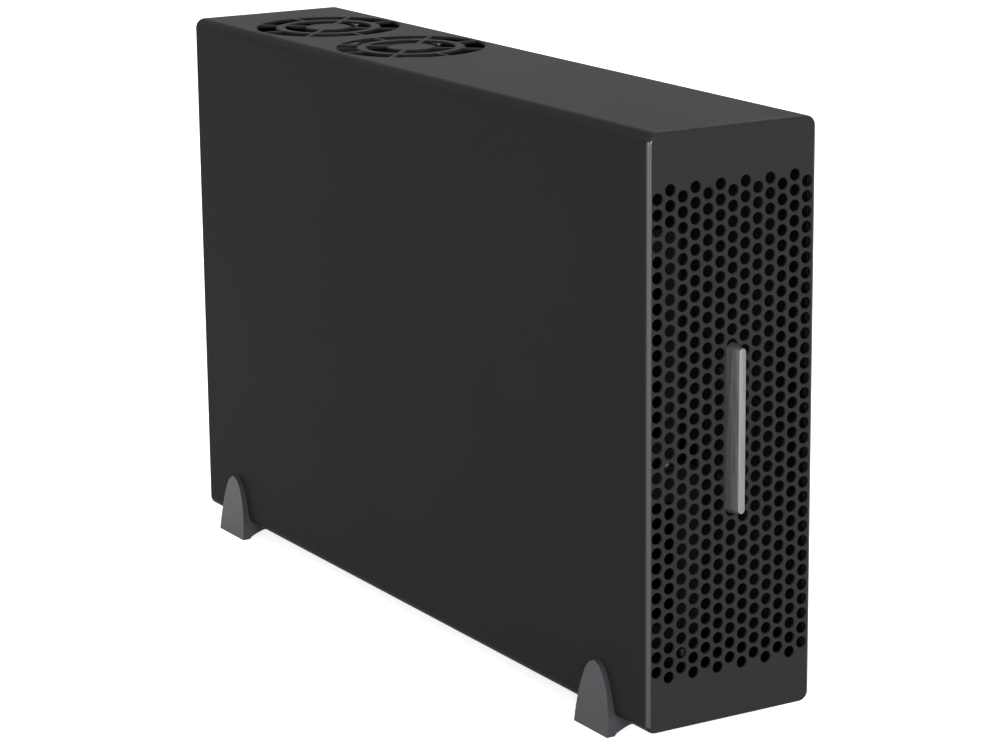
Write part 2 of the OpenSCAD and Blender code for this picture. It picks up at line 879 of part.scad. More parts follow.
leg_screw_places = [for (side = [-1, 1]) [side * (shelf_x - leg_rim), shelf_y0 - leg_foot / 2]];
ear_screw_places = [for (k = [0, 1]) [tray_y1 + collar_d / 2, shelf_z1 + shelf_lip / 2]];
ear_x = pocket_x + pocket_flange + seam;
standoff_places = [
    for (side = [-1, 1], y = [board_y0 + standoff_edge, board_y1 - standoff_edge])
        [side * (board_x - standoff_edge), y]
];
ctl_standoff_places = [
    for (x = [ctl_x0 + standoff_edge, ctl_x1 - standoff_edge],
         y = [ctl_y0 + standoff_edge, tray_y1 - tongue_l - standoff_edge])
        [x, y]
];
ribbon_x = ctl_x1 - standoff_edge - standoff_r - header_w;
power_y0 = board_y0 + 2 * standoff_edge;
harness_y = power_y0 - harness_bend - harness_rise;
harness_z = psu_fan_z - psu_fan / 4;
guide_screw_places = [for (side = [-1, 1]) [side * (shelf_x - leg_rim), guide_y0 - leg_foot / 2]];
lead_places = [for (y = fan_y) [board_x - lead_inset, y - lead_y]];

module board_shelf() color([0.55, 0.56, 0.57]) {
    difference() {
        union() {
            block([-shelf_x, shelf_x], [shelf_y0, shelf_y1], [shelf_z0, shelf_z1]);
            for (side = [-1, 1]) {
                block(side > 0 ? [shelf_x - sheet, shelf_x] : [-shelf_x, sheet - shelf_x],
                      [shelf_y0, rear_in_y], [shelf_z0, shelf_z1 + shelf_lip]);
            }
            block([-shelf_x, shelf_x], [shelf_y0, shelf_y0 + sheet], [tray_z + bend_r, shelf_z1]);
            block([-leg_x, leg_x], [shelf_y0, shelf_y0 + sheet], [tray_z, shelf_z1]);
            block([-leg_x, leg_x], [shelf_y0 - leg_foot, shelf_y0 + sheet], [tray_z, tray_z + sheet]);
        }
        for (side = [-1, 1])
            block(side > 0 ? [leg_rim / 2, shelf_x - leg_rim] : [leg_rim - shelf_x, -leg_rim / 2],
                  [shelf_y0 - cut, shelf_y0 + sheet + cut], [tray_z + leg_rim, shelf_z0 - leg_rim]);
        block([ribbon_x - ribbon_slit / 2, ribbon_x + ribbon_slit / 2],
              [ribbon_y - ribbon_w / 2 - cut, ribbon_y + ribbon_w / 2 + cut],
              [shelf_z0 - cut, shelf_z1 + cut]);
        bar_z(psu_x, harness_y, shelf_z0 - cut, shelf_z1 + cut, harness_r + harness_hole);
        for (p = concat(standoff_places, guide_screw_places))
            bar_z(p[0], p[1], shelf_z0 - cut, shelf_z1 + cut, m3_r + fit);
        for (p = leg_screw_places)
            bar_z(p[0], p[1], tray_z - cut, tray_z + sheet + cut, m3_r + fit);
        for (p = ear_screw_places)
            bar_x(p[0], p[1], -shelf_x - cut, shelf_x + cut, m3_r + fit);
    }
}

module shelf_screws() color([0.6, 0.6, 0.62]) {
    for (p = leg_screw_places)
        translate([p[0], p[1], tray_z + sheet])
            pan_screw(2 * sheet);
    for (p = guide_screw_places)
        translate([p[0], p[1], shelf_z1 + sheet])
            pan_screw(2 * sheet);
    for (side = [-1, 1])
        translate([side * (shelf_x - sheet), ear_screw_places[0][0], ear_screw_places[0][1]])
            rotate([0, -90 * side, 0])
                pan_screw(2 * sheet);
}

rail_z0 = board_z1 + rail_foot;
rail_z1 = ledge_z - rail_drop;

module card_guide() color([0.55, 0.56, 0.57]) {
    difference() {
        union() {
            block([-shelf_x + 2 * sheet, shelf_x - 2 * sheet], [guide_y0 - sheet, guide_y0],
                  [shelf_z1, ledge_z]);
            block([-shelf_x + 2 * sheet, shelf_x - 2 * sheet], [guide_y0 - leg_foot, guide_y0],
                  [shelf_z1, shelf_z1 + sheet]);
        }
        for (slot = slot_x)
            let (x = slot + slot_pitch / 2 - connector_off)
            block([x - rail_w / 2, x + rail_w / 2], [guide_y0 - sheet - cut, guide_y0 + cut],
                  [rail_z0, rail_z1]);
        for (p = guide_screw_places)
            bar_z(p[0], p[1], shelf_z1 - cut, shelf_z1 + sheet + cut, m3_r + fit);
    }
}

module card_rails() color([0.12, 0.12, 0.13]) {
    for (x = slot_x)
        difference() {
            block([x - connector_off - rail_w / 2, x - connector_off + rail_w / 2],
                  [guide_y0, guide_y1 + rail_bite - seam], [rail_z0, rail_z1]);
            block([x - connector_off - rail_groove / 2, x - connector_off + rail_groove / 2],
                  [guide_y1 - seam, guide_y1 + rail_bite + cut], [rail_z0 - cut, rail_z1 + cut]);
        }
}

module backplane_board() color([0.05, 0.28, 0.16]) {
    difference() {
        block([-board_x, board_x], [board_y0, board_y1], [board_z0, board_z1]);
        for (p = standoff_places)
            bar_z(p[0], p[1], board_z0 - cut, board_z1 + cut, m3_r + fit);
    }
}

module board_standoffs() color([0.78, 0.66, 0.36]) {
    for (p = standoff_places)
        difference() {
            bar_z(p[0], p[1], shelf_z1, board_z0, standoff_r);
            bar_z(p[0], p[1], shelf_z1 - cut, board_z0 + cut, m3_r + fit);
        }
    for (p = ctl_standoff_places)
        difference() {
            bar_z(p[0], p[1], tray_z, ctl_z0, standoff_r);
            bar_z(p[0], p[1], ctl_z0 - m3_len, ctl_z0 + cut, m3_r + fit);
        }
}

module board_screws() color([0.6, 0.6, 0.62]) {
    for (p = standoff_places)
        translate([p[0], p[1], board_z1])
            pan_screw(board_t + standoff_h / 2);
    for (p = ctl_standoff_places)
        translate([p[0], p[1], ctl_z1])
            pan_screw(board_t + m3_len / 2);
}

connector_y1 = bracket_y0 - connector_set;

module slot_connector(x) color([0.1, 0.1, 0.11]) {
    difference() {
        block([x - connector_w / 2, x + connector_w / 2], [connector_y1 - connector_l, connector_y1],
              [board_z1, board_z1 + connector_h]);
        for (y = [[connector_y1 - connector_l + connector_w / 4, connector_y1 - connector_key - key_w],
                  [connector_y1 - connector_key, connector_y1 - connector_w / 4]])
            block([x - connector_slit / 2, x + connector_slit / 2], y,
                  [board_z1 + connector_h - connector_deep, board_z1 + connector_h + cut]);
    }
}

module slot_connector_1() slot_connector(slot_x[0] - connector_off);
module slot_connector_2() slot_connector(slot_x[1] - connector_off);
module slot_connector_3() slot_connector(slot_x[2] - connector_off);

aux_w = 14;
aux_d = 10;
aux_h = 12;
aux_pin = 3;
aux_wall = 1;
aux_x = board_x - aux_w;
aux_y = connector_y1 - connector_l - 2 * aux_d;

module aux_power_socket() color([0.08, 0.08, 0.08]) {
    difference() {
        block([aux_x - aux_w / 2, aux_x + aux_w / 2], [aux_y - aux_d / 2, aux_y + aux_d / 2],
              [board_z1, board_z1 + aux_h]);
        for (i = [-1:1], k = [0, 1])
            translate([aux_x + i * (aux_pin + aux_wall), aux_y + (k - 1 / 2) * (aux_pin + aux_wall),
                       board_z1 + aux_h / 2 + cut])
                cube([aux_pin, aux_pin, aux_h], center = true);
    }
}

// Small connectors that the ribbon, the harness and the fan leads plug into
module board_headers() color([0.85, 0.83, 0.75]) {
    block([ribbon_x - header_w / 2, ribbon_x + header_w / 2],
          [ribbon_y - ribbon_w / 2, ribbon_y + ribbon_w / 2], [ctl_z1, ctl_z1 + header_h]);
    block([ribbon_x - header_w / 2, ribbon_x + header_w / 2],
          [ribbon_y - ribbon_w / 2, ribbon_y + ribbon_w / 2], [board_z0 - header_h, board_z0]);
    block([psu_x - power_w / 2, psu_x + power_w / 2], [power_y0, power_y0 + power_d],
          [board_z1, board_z1 + power_h]);
    for (p = lead_places)
        block([p[0] - header_w / 2, p[0] + header_w / 2], [p[1] - header_w / 2, p[1] + header_w / 2],
              [board_z1, board_z1 + plug_h]);
}

module controller_board() color([0.05, 0.28, 0.16]) {
    difference() {
        block([ctl_x0, ctl_x1], [ctl_y0, ctl_y1], [ctl_z0, ctl_z1]);
        for (p = ctl_standoff_places)
            bar_z(p[0], p[1], ctl_z0 - cut, ctl_z1 + cut, m3_r + fit);
    }
}

sink_y = ribbon_y + ribbon_w / 2 + sink_l;

module heat_sink() color([0.7, 0.7, 0.72]) {
    block([ctl_x - sink_w / 2, ctl_x + sink_w / 2], [sink_y - sink_l / 2, sink_y + sink_l / 2],
          [ctl_z1, ctl_z1 + sink_base]);
    for (i = [0:sink_fins - 1])
        let (x = ctl_x - sink_w / 2 + i * (sink_w - fin_t) / (sink_fins - 1))
        block([x, x + fin_t], [sink_y - sink_l / 2, sink_y + sink_l / 2],
              [ctl_z1 + sink_base / 2, ctl_z1 + sink_h]);
}

// A data socket: a metal shell with a flat tongue inside
module data_port(x) color([0.65, 0.65, 0.67]) {
    difference() {
        block([x - port_w / 2, x + port_w / 2], [collar_y1 + port_out - port_d, collar_y1 + port_out],
              [ctl_z1, ctl_z1 + port_h]);
        block([x - port_w / 2 + port_wall, x + port_w / 2 - port_wall],
              [collar_y1 + port_out - port_d + port_h / 2, collar_y1 + port_out + cut],
              [ctl_z1 + port_wall, ctl_z1 + port_h - port_wall]);
    }
    block([x - tongue_w / 2, x + tongue_w / 2],
          [collar_y1 + port_out - port_d + port_wall, collar_y1 - port_out],
          [port_z - tongue_t / 2, port_z + tongue_t / 2]);
}

module data_port_1() data_port(port_x[0]);
module data_port_2() data_port(port_x[1]);

module status_light() color([0.4, 0.9, 0.5]) {
    bar_y(ctl_x, port_z, collar_y1 - light_l, collar_y1 + port_out, light_r);
    block([ctl_x - light_r, ctl_x + light_r], [ctl_y1 - light_l, ctl_y1 - light_l / 2],
          [ctl_z1, port_z]);
}

module link_ribbon() color([0.6, 0.6, 0.58]) {
    block([ribbon_x - ribbon_t / 2, ribbon_x + ribbon_t / 2],
          [ribbon_y - ribbon_w / 2 + ribbon_t, ribbon_y + ribbon_w / 2 - ribbon_t],
          [ctl_z1 + header_h, board_z0 - header_h]);
}

// Fans

// Screw places of a square fan of a given hole pitch, from its middle
function fan_corners(pitch) = [for (a = [-1, 1], b = [-1, 1]) [a * pitch / 2, b * pitch / 2]];

module fan_deck() color([0.55, 0.56, 0.57]) {
    difference() {
        union() {
            block([-ch_x, ch_x], [tray_y0, tray_y1], [deck_z0, deck_z1]);
            for (side = [-1, 1])
                block(side > 0 ? [ch_in_x, ch_x] : [-ch_x, -ch_in_x], [tray_y0, tray_y1],
                      [deck_z0, ch_z1 - ch_r]);
            for (y = [[tray_y0, tray_y0 + sheet], [tray_y1 - sheet, tray_y1]])
                block([ch_r - ch_x, ch_x - ch_r], y, [deck_z0, ch_z1 - sheet]);
            for (y = [[tray_y0 - tongue_l, tray_y0 + sheet], [tray_y1 - sheet, tray_y1 + tongue_l]])
                block([ch_r - ch_x, ch_x - ch_r], y, [ch_z1 - 2 * sheet, ch_z1 - sheet]);
        }
        for (y = fan_y) {
            bar_z(0, y, deck_z0 - cut, deck_z1 + cut, fan_bore / 2);
            for (p = fan_corners(fan_screw_pitch))
                bar_z(p[0], y + p[1], deck_z0 - cut, deck_z1 + cut, fan_screw_r + fit);
        }
        frame_screw_holes();
    }
}

// A fan frame: two flanges, the air tube, struts and the bearing tube, from z = 0
module fan_frame(size, t, bore, pitch, hub, corner, screw_r, base_t, n) {
    difference() {
        union() {
            difference() {
                linear_extrude(t)
                    translate([0, -size / 2])
                        round_rect(size / 2, 0, size, corner);
                translate([0, 0, -cut])
                    cylinder(h = t + 2 * cut, r = bore / 2);
            }
            cylinder(h = base_t, r = hub);
            for (k = [0:n - 1])
                rotate(45 + k * 360 / n)
                    translate([0, -strut_w * hub / fan_hub_r / 2, 0])
                        cube([bore / 2 + cut, strut_w * hub / fan_hub_r, base_t]);
            cylinder(h = t * tube_share, r = tube_r * hub / fan_hub_r);
        }
        translate([0, 0, -cut])
            cylinder(h = t + 2 * cut, r = shaft_r * hub / fan_hub_r + fit);
        for (p = fan_corners(pitch))
            translate([p[0], p[1], -cut])
                cylinder(h = t + 2 * cut, r = screw_r + fit);
    }
}

// A rotor over it: a hub cup on a shaft, with pitched blades
module fan_rotor(t, bore, hub, base_t, chord, n) {
    r = bore / 2 - rotor_gap;
    z1 = t - rotor_gap;
    z0 = base_t + rotor_gap;
    difference() {
        translate([0, 0, z0])
            cylinder(h = z1 - z0, r = hub);
        translate([0, 0, z0 - cut])
            cylinder(h = z1 - z0 - fan_hub_wall + cut, r = hub - fan_hub_wall);
    }
    translate([0, 0, base_t / 2])
        cylinder(h = z1 - fan_hub_wall / 2 - base_t / 2, r = shaft_r * hub / fan_hub_r);
    intersection() {
        difference() {
            translate([0, 0, z0])
                cylinder(h = z1 - z0, r = r);
            translate([0, 0, z0 - cut])
                cylinder(h = z1 - z0 + 2 * cut, r = hub - fan_hub_wall / 2);
        }
        for (k = [0:n - 1])
            rotate(k * 360 / n)
                translate([hub - fan_hub_wall, 0, (z0 + z1) / 2])
                    rotate([blade_pitch, 0, 0])
                        translate([0, -chord / 2, -blade_t / 2])
                            cube([r, chord, blade_t]);
    }
}

module fan_frame_at(y) color([0.1, 0.1, 0.1]) {
    translate([0, y, fan_z0])
        fan_frame(fan_size, fan_t, fan_bore, fan_screw_pitch, fan_hub_r, fan_corner_r, fan_screw_r,
                  fan_base_t, struts);
}

module fan_rotor_at(y) color([0.15, 0.15, 0.16]) {
    translate([0, y, fan_z0])
        fan_rotor(fan_t, fan_bore, fan_hub_r, fan_base_t, blade_chord, blades);
}

module fan_frame_rear() fan_frame_at(fan_y[0]);
module fan_frame_front() fan_frame_at(fan_y[1]);
module fan_rotor_rear() fan_rotor_at(fan_y[0]);
module fan_rotor_front() fan_rotor_at(fan_y[1]);

// The fans' coils, each on its bearing tube
module fan_stators() color([0.72, 0.45, 0.2]) {
    for (y = fan_y)
        difference() {
            bar_z(0, y, fan_z0 + fan_base_t, fan_z0 + fan_base_t + stator_h, stator_r);
            bar_z(0, y, fan_z0, fan_z0 + fan_t, tube_r + fit);
        }
}

module fan_screws() color([0.15, 0.15, 0.15]) {
    for (y = fan_y, p = fan_corners(fan_screw_pitch))
        translate([p[0], y + p[1], deck_z1])
            pan_screw(2 * m3_len, fan_screw_r * 2, m3_head_h, fan_screw_r);
}

module fan_leads() color([0.08, 0.08, 0.08]) {
    for (p = lead_places)
        bar_z(p[0], p[1], board_z1 + plug_h, fan_z0, lead_r);
}

// Power supply

module psu_case() color([0.6, 0.61, 0.62]) {
    difference() {
        translate([psu_x, 0, 0])
            along_y(psu_y0, rear_in_y)
                round_rect(psu_w / 2, psu_z0, psu_z1, bend_r);
        translate([psu_x, 0, 0])
            along_y(psu_y0 + psu_wall, rear_in_y - psu_wall)
                round_rect(psu_w / 2 - psu_wall, psu_z0 + psu_wall, psu_z1 - psu_wall, bend_r - psu_wall);
        block([psu_x - inlet_w / 2, psu_x + inlet_w / 2], [rear_in_y - 2 * psu_wall, rear_in_y + cut],
              [inlet_z - inlet_h / 2, inlet_z + inlet_h / 2]);
        block([psu_x - switch_w / 2, psu_x + switch_w / 2], [rear_in_y - 2 * psu_wall, rear_in_y + cut],
              [switch_z - switch_h / 2, switch_z + switch_h / 2]);
        translate([psu_x, 0, psu_fan_z])
            along_y(rear_in_y - 2 * psu_wall, rear_in_y + cut)
                for (k = [0:psu_rings - 1])
                    let (r1 = psu_fan / 2 - psu_wall - k * (psu_ring_w + psu_wall))
                    difference() {
                        circle(r = r1);
                        circle(r = r1 - psu_ring_w);
                        for (a = [0, 45, 90, 135])
                            rotate(a)
                                square([psu_fan, 2 * psu_wall], center = true);
                    }
        for (i = [0:psu_vents - 1])
            let (z = psu_z0 + psu_vent_edge + i * psu_vent_pitch)
            block([psu_x0 + psu_vent_edge, psu_x1 - psu_vent_edge], [psu_y0 - cut, psu_y0 + 2 * psu_wall],
                  [z, z + psu_vent_w]);
        bar_y(psu_x, harness_z, psu_y0 - cut, psu_y0 + 2 * psu_wall, harness_r + fit);
        for (p = fan_corners(psu_fan_pitch))
            bar_y(psu_x + p[0], psu_fan_z + p[1], rear_in_y - 2 * psu_wall, rear_in_y + cut, m3_r + fit);
        for (p = psu_foot_places)
            bar_z(p[0], p[1], psu_z0 - cut, psu_z0 + 2 * psu_wall, m3_r + fit);
    }
}

psu_board_z = psu_z0 + 3 * psu_wall;
psu_board_y1 = rear_in_y - inlet_d - psu_fan_t / 2;
coil_r = 8;
cap_r = 9;
cap_h = 32;

// The supply's own board with its transformer and its large capacitors
module psu_board() color([0.75, 0.62, 0.4]) {
    block([psu_x0 + 2 * psu_wall, psu_x1 - 2 * psu_wall], [psu_y0 + 2 * psu_wall, psu_board_y1],
          [psu_board_z, psu_board_z + board_t]);
    for (x = [psu_x0 + psu_w / 4, psu_x1 - psu_w / 4])
        block([x - board_t, x + board_t], [psu_y0 + 4 * psu_wall, psu_y0 + psu_l / 2],
              [psu_z0 + psu_wall, psu_board_z + board_t / 2]);
    block([psu_x - cap_h / 2, psu_x + cap_h / 2], [psu_y0 + psu_l / 4, psu_y0 + psu_l / 4 + cap_h],
          [psu_board_z + board_t / 2, psu_board_z + cap_h]);
    for (side = [-1, 1])
        bar_z(psu_x + side * (cap_r + psu_wall / 2), psu_y0 + psu_l / 2 + 2 * cap_r,
              psu_board_z + board_t / 2, psu_board_z + cap_h, cap_r);
    bar_z(psu_x, psu_y0 + psu_l / 4 + cap_h + 2 * coil_r, psu_board_z + board_t / 2,
          psu_board_z + cap_h / 2, coil_r);
}

psu_fan_y = rear_in_y - psu_wall;

module psu_fan_place() {
    translate([psu_x, psu_fan_y - psu_fan_t, psu_fan_z])
        rotate([-90, 0, 0])
            children();
}

module psu_fan_frame() color([0.1, 0.1, 0.1]) {
    psu_fan_place()
        fan_frame(psu_fan - 2 * psu_wall, psu_fan_t, psu_fan - 2 * psu_wall - 2 * psu_fan_wall, psu_fan_pitch,
                  psu_hub_r, fan_corner_r, m3_r, fan_base_t, psu_struts);
}

module psu_rotor() color([0.15, 0.15, 0.16]) {
    psu_fan_place()
        fan_rotor(psu_fan_t, psu_fan - 2 * psu_wall - 2 * psu_fan_wall, psu_hub_r, fan_base_t, psu_fan / 4,
                  psu_blades);
}

// Four screws of the supply's fan, and two that hold the supply on the tray
module psu_screws() color([0.6, 0.6, 0.62]) {
    for (p = fan_corners(psu_fan_pitch))
        translate([psu_x + p[0], rear_in_y, psu_fan_z + p[1]])
            rotate([-90, 0, 0])
                pan_screw(m3_len, psu_head_r, sheet);
    for (p = psu_foot_places)
        countersunk_screw(p[0], p[1], 0);
}

// Screws of the slot frame and the bracket cover, set from inside the rear panel
module panel_screws() color([0.6, 0.6, 0.62]) {
    for (p = concat(cover_screw_places, flange_screw_places))
        translate([p[0], rear_in_y - sheet, p[1]])
            rotate([90, 0, 0])
                pan_screw(2 * sheet);
}

module inlet_socket() color([0.08, 0.08, 0.08]) {
    difference() {
        union() {
            block([psu_x - inlet_w / 2, psu_x + inlet_w / 2], [rear_in_y - inlet_d, rear_in_y],
                  [inlet_z - inlet_h / 2, inlet_z + inlet_h / 2]);
            block([psu_x - inlet_w / 2 - inlet_flange, psu_x + inlet_w / 2 + inlet_flange],
                  [rear_in_y, rear_in_y + inlet_flange_t],
                  [inlet_z - inlet_h / 2 - inlet_flange, inlet_z + inlet_h / 2 + inlet_flange]);
        }
        block([psu_x - inlet_w / 2 + inlet_wall, psu_x + inlet_w / 2 - inlet_wall],
              [rear_in_y + inlet_flange_t - inlet_depth, rear_in_y + inlet_flange_t + cut],
              [inlet_z - inlet_h / 2 + inlet_wall, inlet_z + inlet_h / 2 - inlet_wall]);
    }
}

module inlet_pins() color([0.8, 0.8, 0.8]) {
    for (i = [-1:1])
        let (z = i == 0 ? inlet_z + pin_rise : inlet_z - pin_rise)
        block([psu_x + i * pin_pitch - pin_t / 2, psu_x + i * pin_pitch + pin_t / 2],
              [rear_in_y + inlet_flange_t - inlet_depth, rear_in_y - pin_short],
              [z - pin_w / 2, z + pin_w / 2]);
}

rocker_y = rear_in_y - rocker_in;
rocker_r = switch_w / 2 - switch_wall - rocker_gap;
rocker_h = switch_h - 2 * switch_wall - 2 * rocker_gap;

module switch_housing() color([0.08, 0.08, 0.08]) {
    difference() {
        union() {
            block([psu_x - switch_w / 2, psu_x + switch_w / 2], [rear_in_y - switch_d, rear_in_y],
                  [switch_z - switch_h / 2, switch_z + switch_h / 2]);
            block([psu_x - switch_w / 2 - switch_flange, psu_x + switch_w / 2 + switch_flange],
                  [rear_in_y, rear_in_y + switch_flange],
                  [switch_z - switch_h / 2 - switch_flange, switch_z + switch_h / 2 + switch_flange]);
        }
        block([psu_x - switch_w / 2 + switch_wall, psu_x + switch_w / 2 - switch_wall],
              [rear_in_y - switch_d + switch_wall, rear_in_y + 2 * switch_flange],
              [switch_z - switch_h / 2 + switch_wall, switch_z + switch_h / 2 - switch_wall]);
        bar_z(psu_x, rocker_y, switch_z - switch_h / 2 - cut, switch_z + switch_h / 2 + cut,
              rocker_pin_r + fit);
    }
}

// A rocker that rests with its left end pressed, and turns about an upright pin
module switch_rocker() color([0.1, 0.1, 0.1]) {
    translate([psu_x, rocker_y, 0])
        rotate(-rocker_tilt) {
            translate([0, 0, switch_z - rocker_h / 2])
                linear_extrude(rocker_h)
                    intersection() {
                        circle(r = rocker_r);
                        polygon([[-rocker_r, -rocker_in], [-rocker_r, rocker_in + rocker_rise],
                                 [0, rocker_in + rocker_dip],
                                 [rocker_r, rocker_in + rocker_rise], [rocker_r, -rocker_in]]);
                    }
            bar_z(0, 0, switch_z - rocker_h / 2 - rocker_pin_l, switch_z + rocker_h / 2 + rocker_pin_l,
                  rocker_pin_r);
        }
}

// The bundle from the supply up through the shelf to the board
module harness_elbow(y, z, turn) {
    translate([psu_x, y, z])
        rotate([0, 90, 0])
            rotate(turn)
                rotate_extrude(angle = 90)
                    translate([harness_bend, 0])
                        circle(r = harness_r);
}

module power_harness() color([0.1, 0.1, 0.1]) {
    top_z = board_z1 + power_h / 2;
    bar_y(psu_x, harness_z, harness_y + harness_bend, psu_y0 + psu_wall, harness_r);
    bar_z(psu_x, harness_y, harness_z + harness_bend, top_z - harness_bend, harness_r);
    bar_y(psu_x, top_z, harness_y + harness_bend, power_y0, harness_r);
    harness_elbow(harness_y + harness_bend, harness_z + harness_bend, 270);
    harness_elbow(harness_y + harness_bend, top_z - harness_bend, 180);
}

outer_case();
foot_front_left();
foot_front_right();
foot_rear_left();
foot_rear_right();
foot_screws();
thumbscrew_top();
thumbscrew_bottom();
front_bezel();
bezel_screws();
trim_bar();
trim_nuts();
front_frame();
chassis_tray();
rear_panel();
frame_screws();
slot_frame();
slot_cover_1();
slot_cover_2();
slot_cover_3();
slot_screws();
bracket_cover();
board_shelf();
shelf_screws();
card_guide();
card_rails();
backplane_board();
board_standoffs();
board_screws();
slot_connector_1();
slot_connector_2();
slot_connector_3();
aux_power_socket();
board_headers();
controller_board();
heat_sink();
data_port_1();
data_port_2();
status_light();
link_ribbon();
fan_deck();
fan_frame_front();
fan_frame_rear();
fan_stators();
fan_screws();
fan_leads();
fan_rotor_front();
fan_rotor_rear();
psu_case();
psu_board();
psu_fan_frame();
psu_rotor();
psu_screws();
panel_screws();
inlet_socket();
inlet_pins();
switch_housing();
switch_rocker();
power_harness();
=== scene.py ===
import json
import math

import bmesh
import bpy
from mathutils import Matrix, Vector


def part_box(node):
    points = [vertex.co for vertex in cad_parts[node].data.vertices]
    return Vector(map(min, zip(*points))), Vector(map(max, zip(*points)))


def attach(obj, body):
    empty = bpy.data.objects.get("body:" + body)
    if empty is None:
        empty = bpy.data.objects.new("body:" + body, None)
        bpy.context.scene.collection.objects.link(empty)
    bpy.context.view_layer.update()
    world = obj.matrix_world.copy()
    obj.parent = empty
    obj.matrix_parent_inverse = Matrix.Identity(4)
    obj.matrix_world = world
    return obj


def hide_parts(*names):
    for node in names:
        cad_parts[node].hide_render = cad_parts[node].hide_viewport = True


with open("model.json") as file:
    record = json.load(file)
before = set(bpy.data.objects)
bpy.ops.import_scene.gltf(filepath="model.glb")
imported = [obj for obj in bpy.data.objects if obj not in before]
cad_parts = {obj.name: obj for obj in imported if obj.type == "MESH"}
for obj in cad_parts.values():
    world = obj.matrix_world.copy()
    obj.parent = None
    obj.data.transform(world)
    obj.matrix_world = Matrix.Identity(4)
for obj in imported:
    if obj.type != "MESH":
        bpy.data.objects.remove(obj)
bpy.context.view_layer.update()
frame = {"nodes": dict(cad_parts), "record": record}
nodes = frame["nodes"]
scene = bpy.context.scene
mm = 0.001
touch = 1e-6
print("frame loaded:", len(nodes), "nodes")


# the camera stands where the photographer stood

camera = {
    "lens": 117.1,
    "azimuth": -30.92,
    "elevation": 14.01,
    "roll": -0.57,
    "distance": 1621.5,
    "aside": -10.68,
    "above": 20.91,
    "clip": (0.05, 30.0),
}


def outward(azimuth, elevation):
    # from the object to the place at these angles, both in radians
    level = math.cos(elevation)
    return Vector((math.sin(azimuth) * level, -math.cos(azimuth) * level, math.sin(elevation)))


def placeCamera():
    data = bpy.data.cameras.new("camera")
    data.lens = camera["lens"]
    data.clip_start, data.clip_end = camera["clip"]
    view = bpy.data.objects.new("camera", data)
    scene.collection.objects.link(view)
    a, e, r = (math.radians(camera[k]) for k in ("azimuth", "elevation", "roll"))
    back = outward(a, e)
    right = (-back).cross(Vector((0, 0, 1))).normalized()
    up = right.cross(-back)
    tiltRight = right * math.cos(r) + up * math.sin(r)
    tiltUp = up * math.cos(r) - right * math.sin(r)
    lo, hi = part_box("outer_case")
    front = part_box("front_bezel")[0]
    middle = (Vector((lo.x, front.y, lo.z)) + hi) / 2
    turn = Matrix((tiltRight, tiltUp, back)).transposed().to_4x4()
    place = (
        middle
        + back * camera["distance"] * mm
        - tiltRight * camera["aside"] * mm
        - tiltUp * camera["above"] * mm
    )
    view.matrix_world = Matrix.Translation(place) @ turn
    scene.camera = view


placeCamera()


# modelling helpers


def nothingSelected():
    if bpy.context.object and bpy.context.object.mode != "OBJECT":
        bpy.ops.object.mode_set(mode="OBJECT")
    bpy.ops.object.select_all(action="DESELECT")


def onlySelected(obj):
    nothingSelected()
    obj.select_set(True)
    bpy.context.view_layer.objects.active = obj


def settle(obj):
    # the piece's place goes into its mesh
    onlySelected(obj)
    bpy.ops.object.transform_apply(location=True, rotation=True, scale=True)
    return obj


def block(name, lo, hi):
    nothingSelected()
    lo, hi = Vector(lo), Vector(hi)
    bpy.ops.mesh.primitive_cube_add(size=1, location=(lo + hi) / 2)
    obj = bpy.context.object
    obj.name = name
    obj.scale = hi - lo
    return settle(obj)


def rod(name, foot, top, radius, sides):
    nothingSelected()
    foot, top = Vector(foot), Vector(top)
    bpy.ops.mesh.primitive_cone_add(
        vertices=sides,
        radius1=radius,
        radius2=radius,
        depth=(top - foot).length,
        location=(foot + top) / 2,
        rotation=(top - foot).to_track_quat("Z", "Y").to_euler(),
    )
    bpy.context.object.name = name
    return settle(bpy.context.object)


def bevelEdges(obj, width, segments, wanted):
    # wanted says of each edge, by its middle and direction, whether it is rounded
    onlySelected(obj)
    bpy.ops.object.mode_set(mode="EDIT")
    bpy.ops.mesh.select_mode(type="EDGE")
    bpy.ops.mesh.select_all(action="DESELECT")
    mesh = bmesh.from_edit_mesh(obj.data)
    for edge in mesh.edges:
        a, b = (v.co for v in edge.verts)
        if wanted((a + b) / 2, (b - a).normalized()):
            edge.select_set(True)
    mesh.select_flush_mode()
    bmesh.update_edit_mesh(obj.data)
    bpy.ops.mesh.bevel(offset=width, segments=segments, profile=0.5, clamp_overlap=True)
    bpy.ops.object.mode_set(mode="OBJECT")


def alongDepth(middle, direction):
    # the edges that run from front to rear
    return abs(direction.y) > 0.99


def aroundEnd(y):
    # the edges around the end face at this depth
    return lambda middle, direction: abs(middle.y - y) < touch and abs(direction.y) < 0.01


def addModifier(obj, kind, **settings):
    mod = obj.modifiers.new(kind, kind)
    for key, value in settings.items():
        setattr(mod, key, value)
    onlySelected(obj)
    bpy.ops.object.modifier_apply(modifier=mod.name)


def cutAway(obj, tool):
    addModifier(obj, "BOOLEAN", object=tool, operation="DIFFERENCE", solver="MANIFOLD")
    bpy.data.objects.remove(tool, do_unlink=True)


def joined(name, parts):
    nothingSelected()
    for part in parts:
        part.select_set(True)
    bpy.context.view_layer.objects.active = parts[0]
    bpy.ops.object.join()
    parts[0].name = name
    return parts[0]


def smoothed(obj, degrees=30):
    onlySelected(obj)
    bpy.ops.object.shade_smooth_by_angle(angle=math.radians(degrees))


def flatShaded(obj):
    # round edges stay smooth while the large flat faces keep their own normals
    smoothed(obj)
    addModifier(obj, "WEIGHTED_NORMAL", mode="FACE_AREA", weight=80, keep_sharp=True)


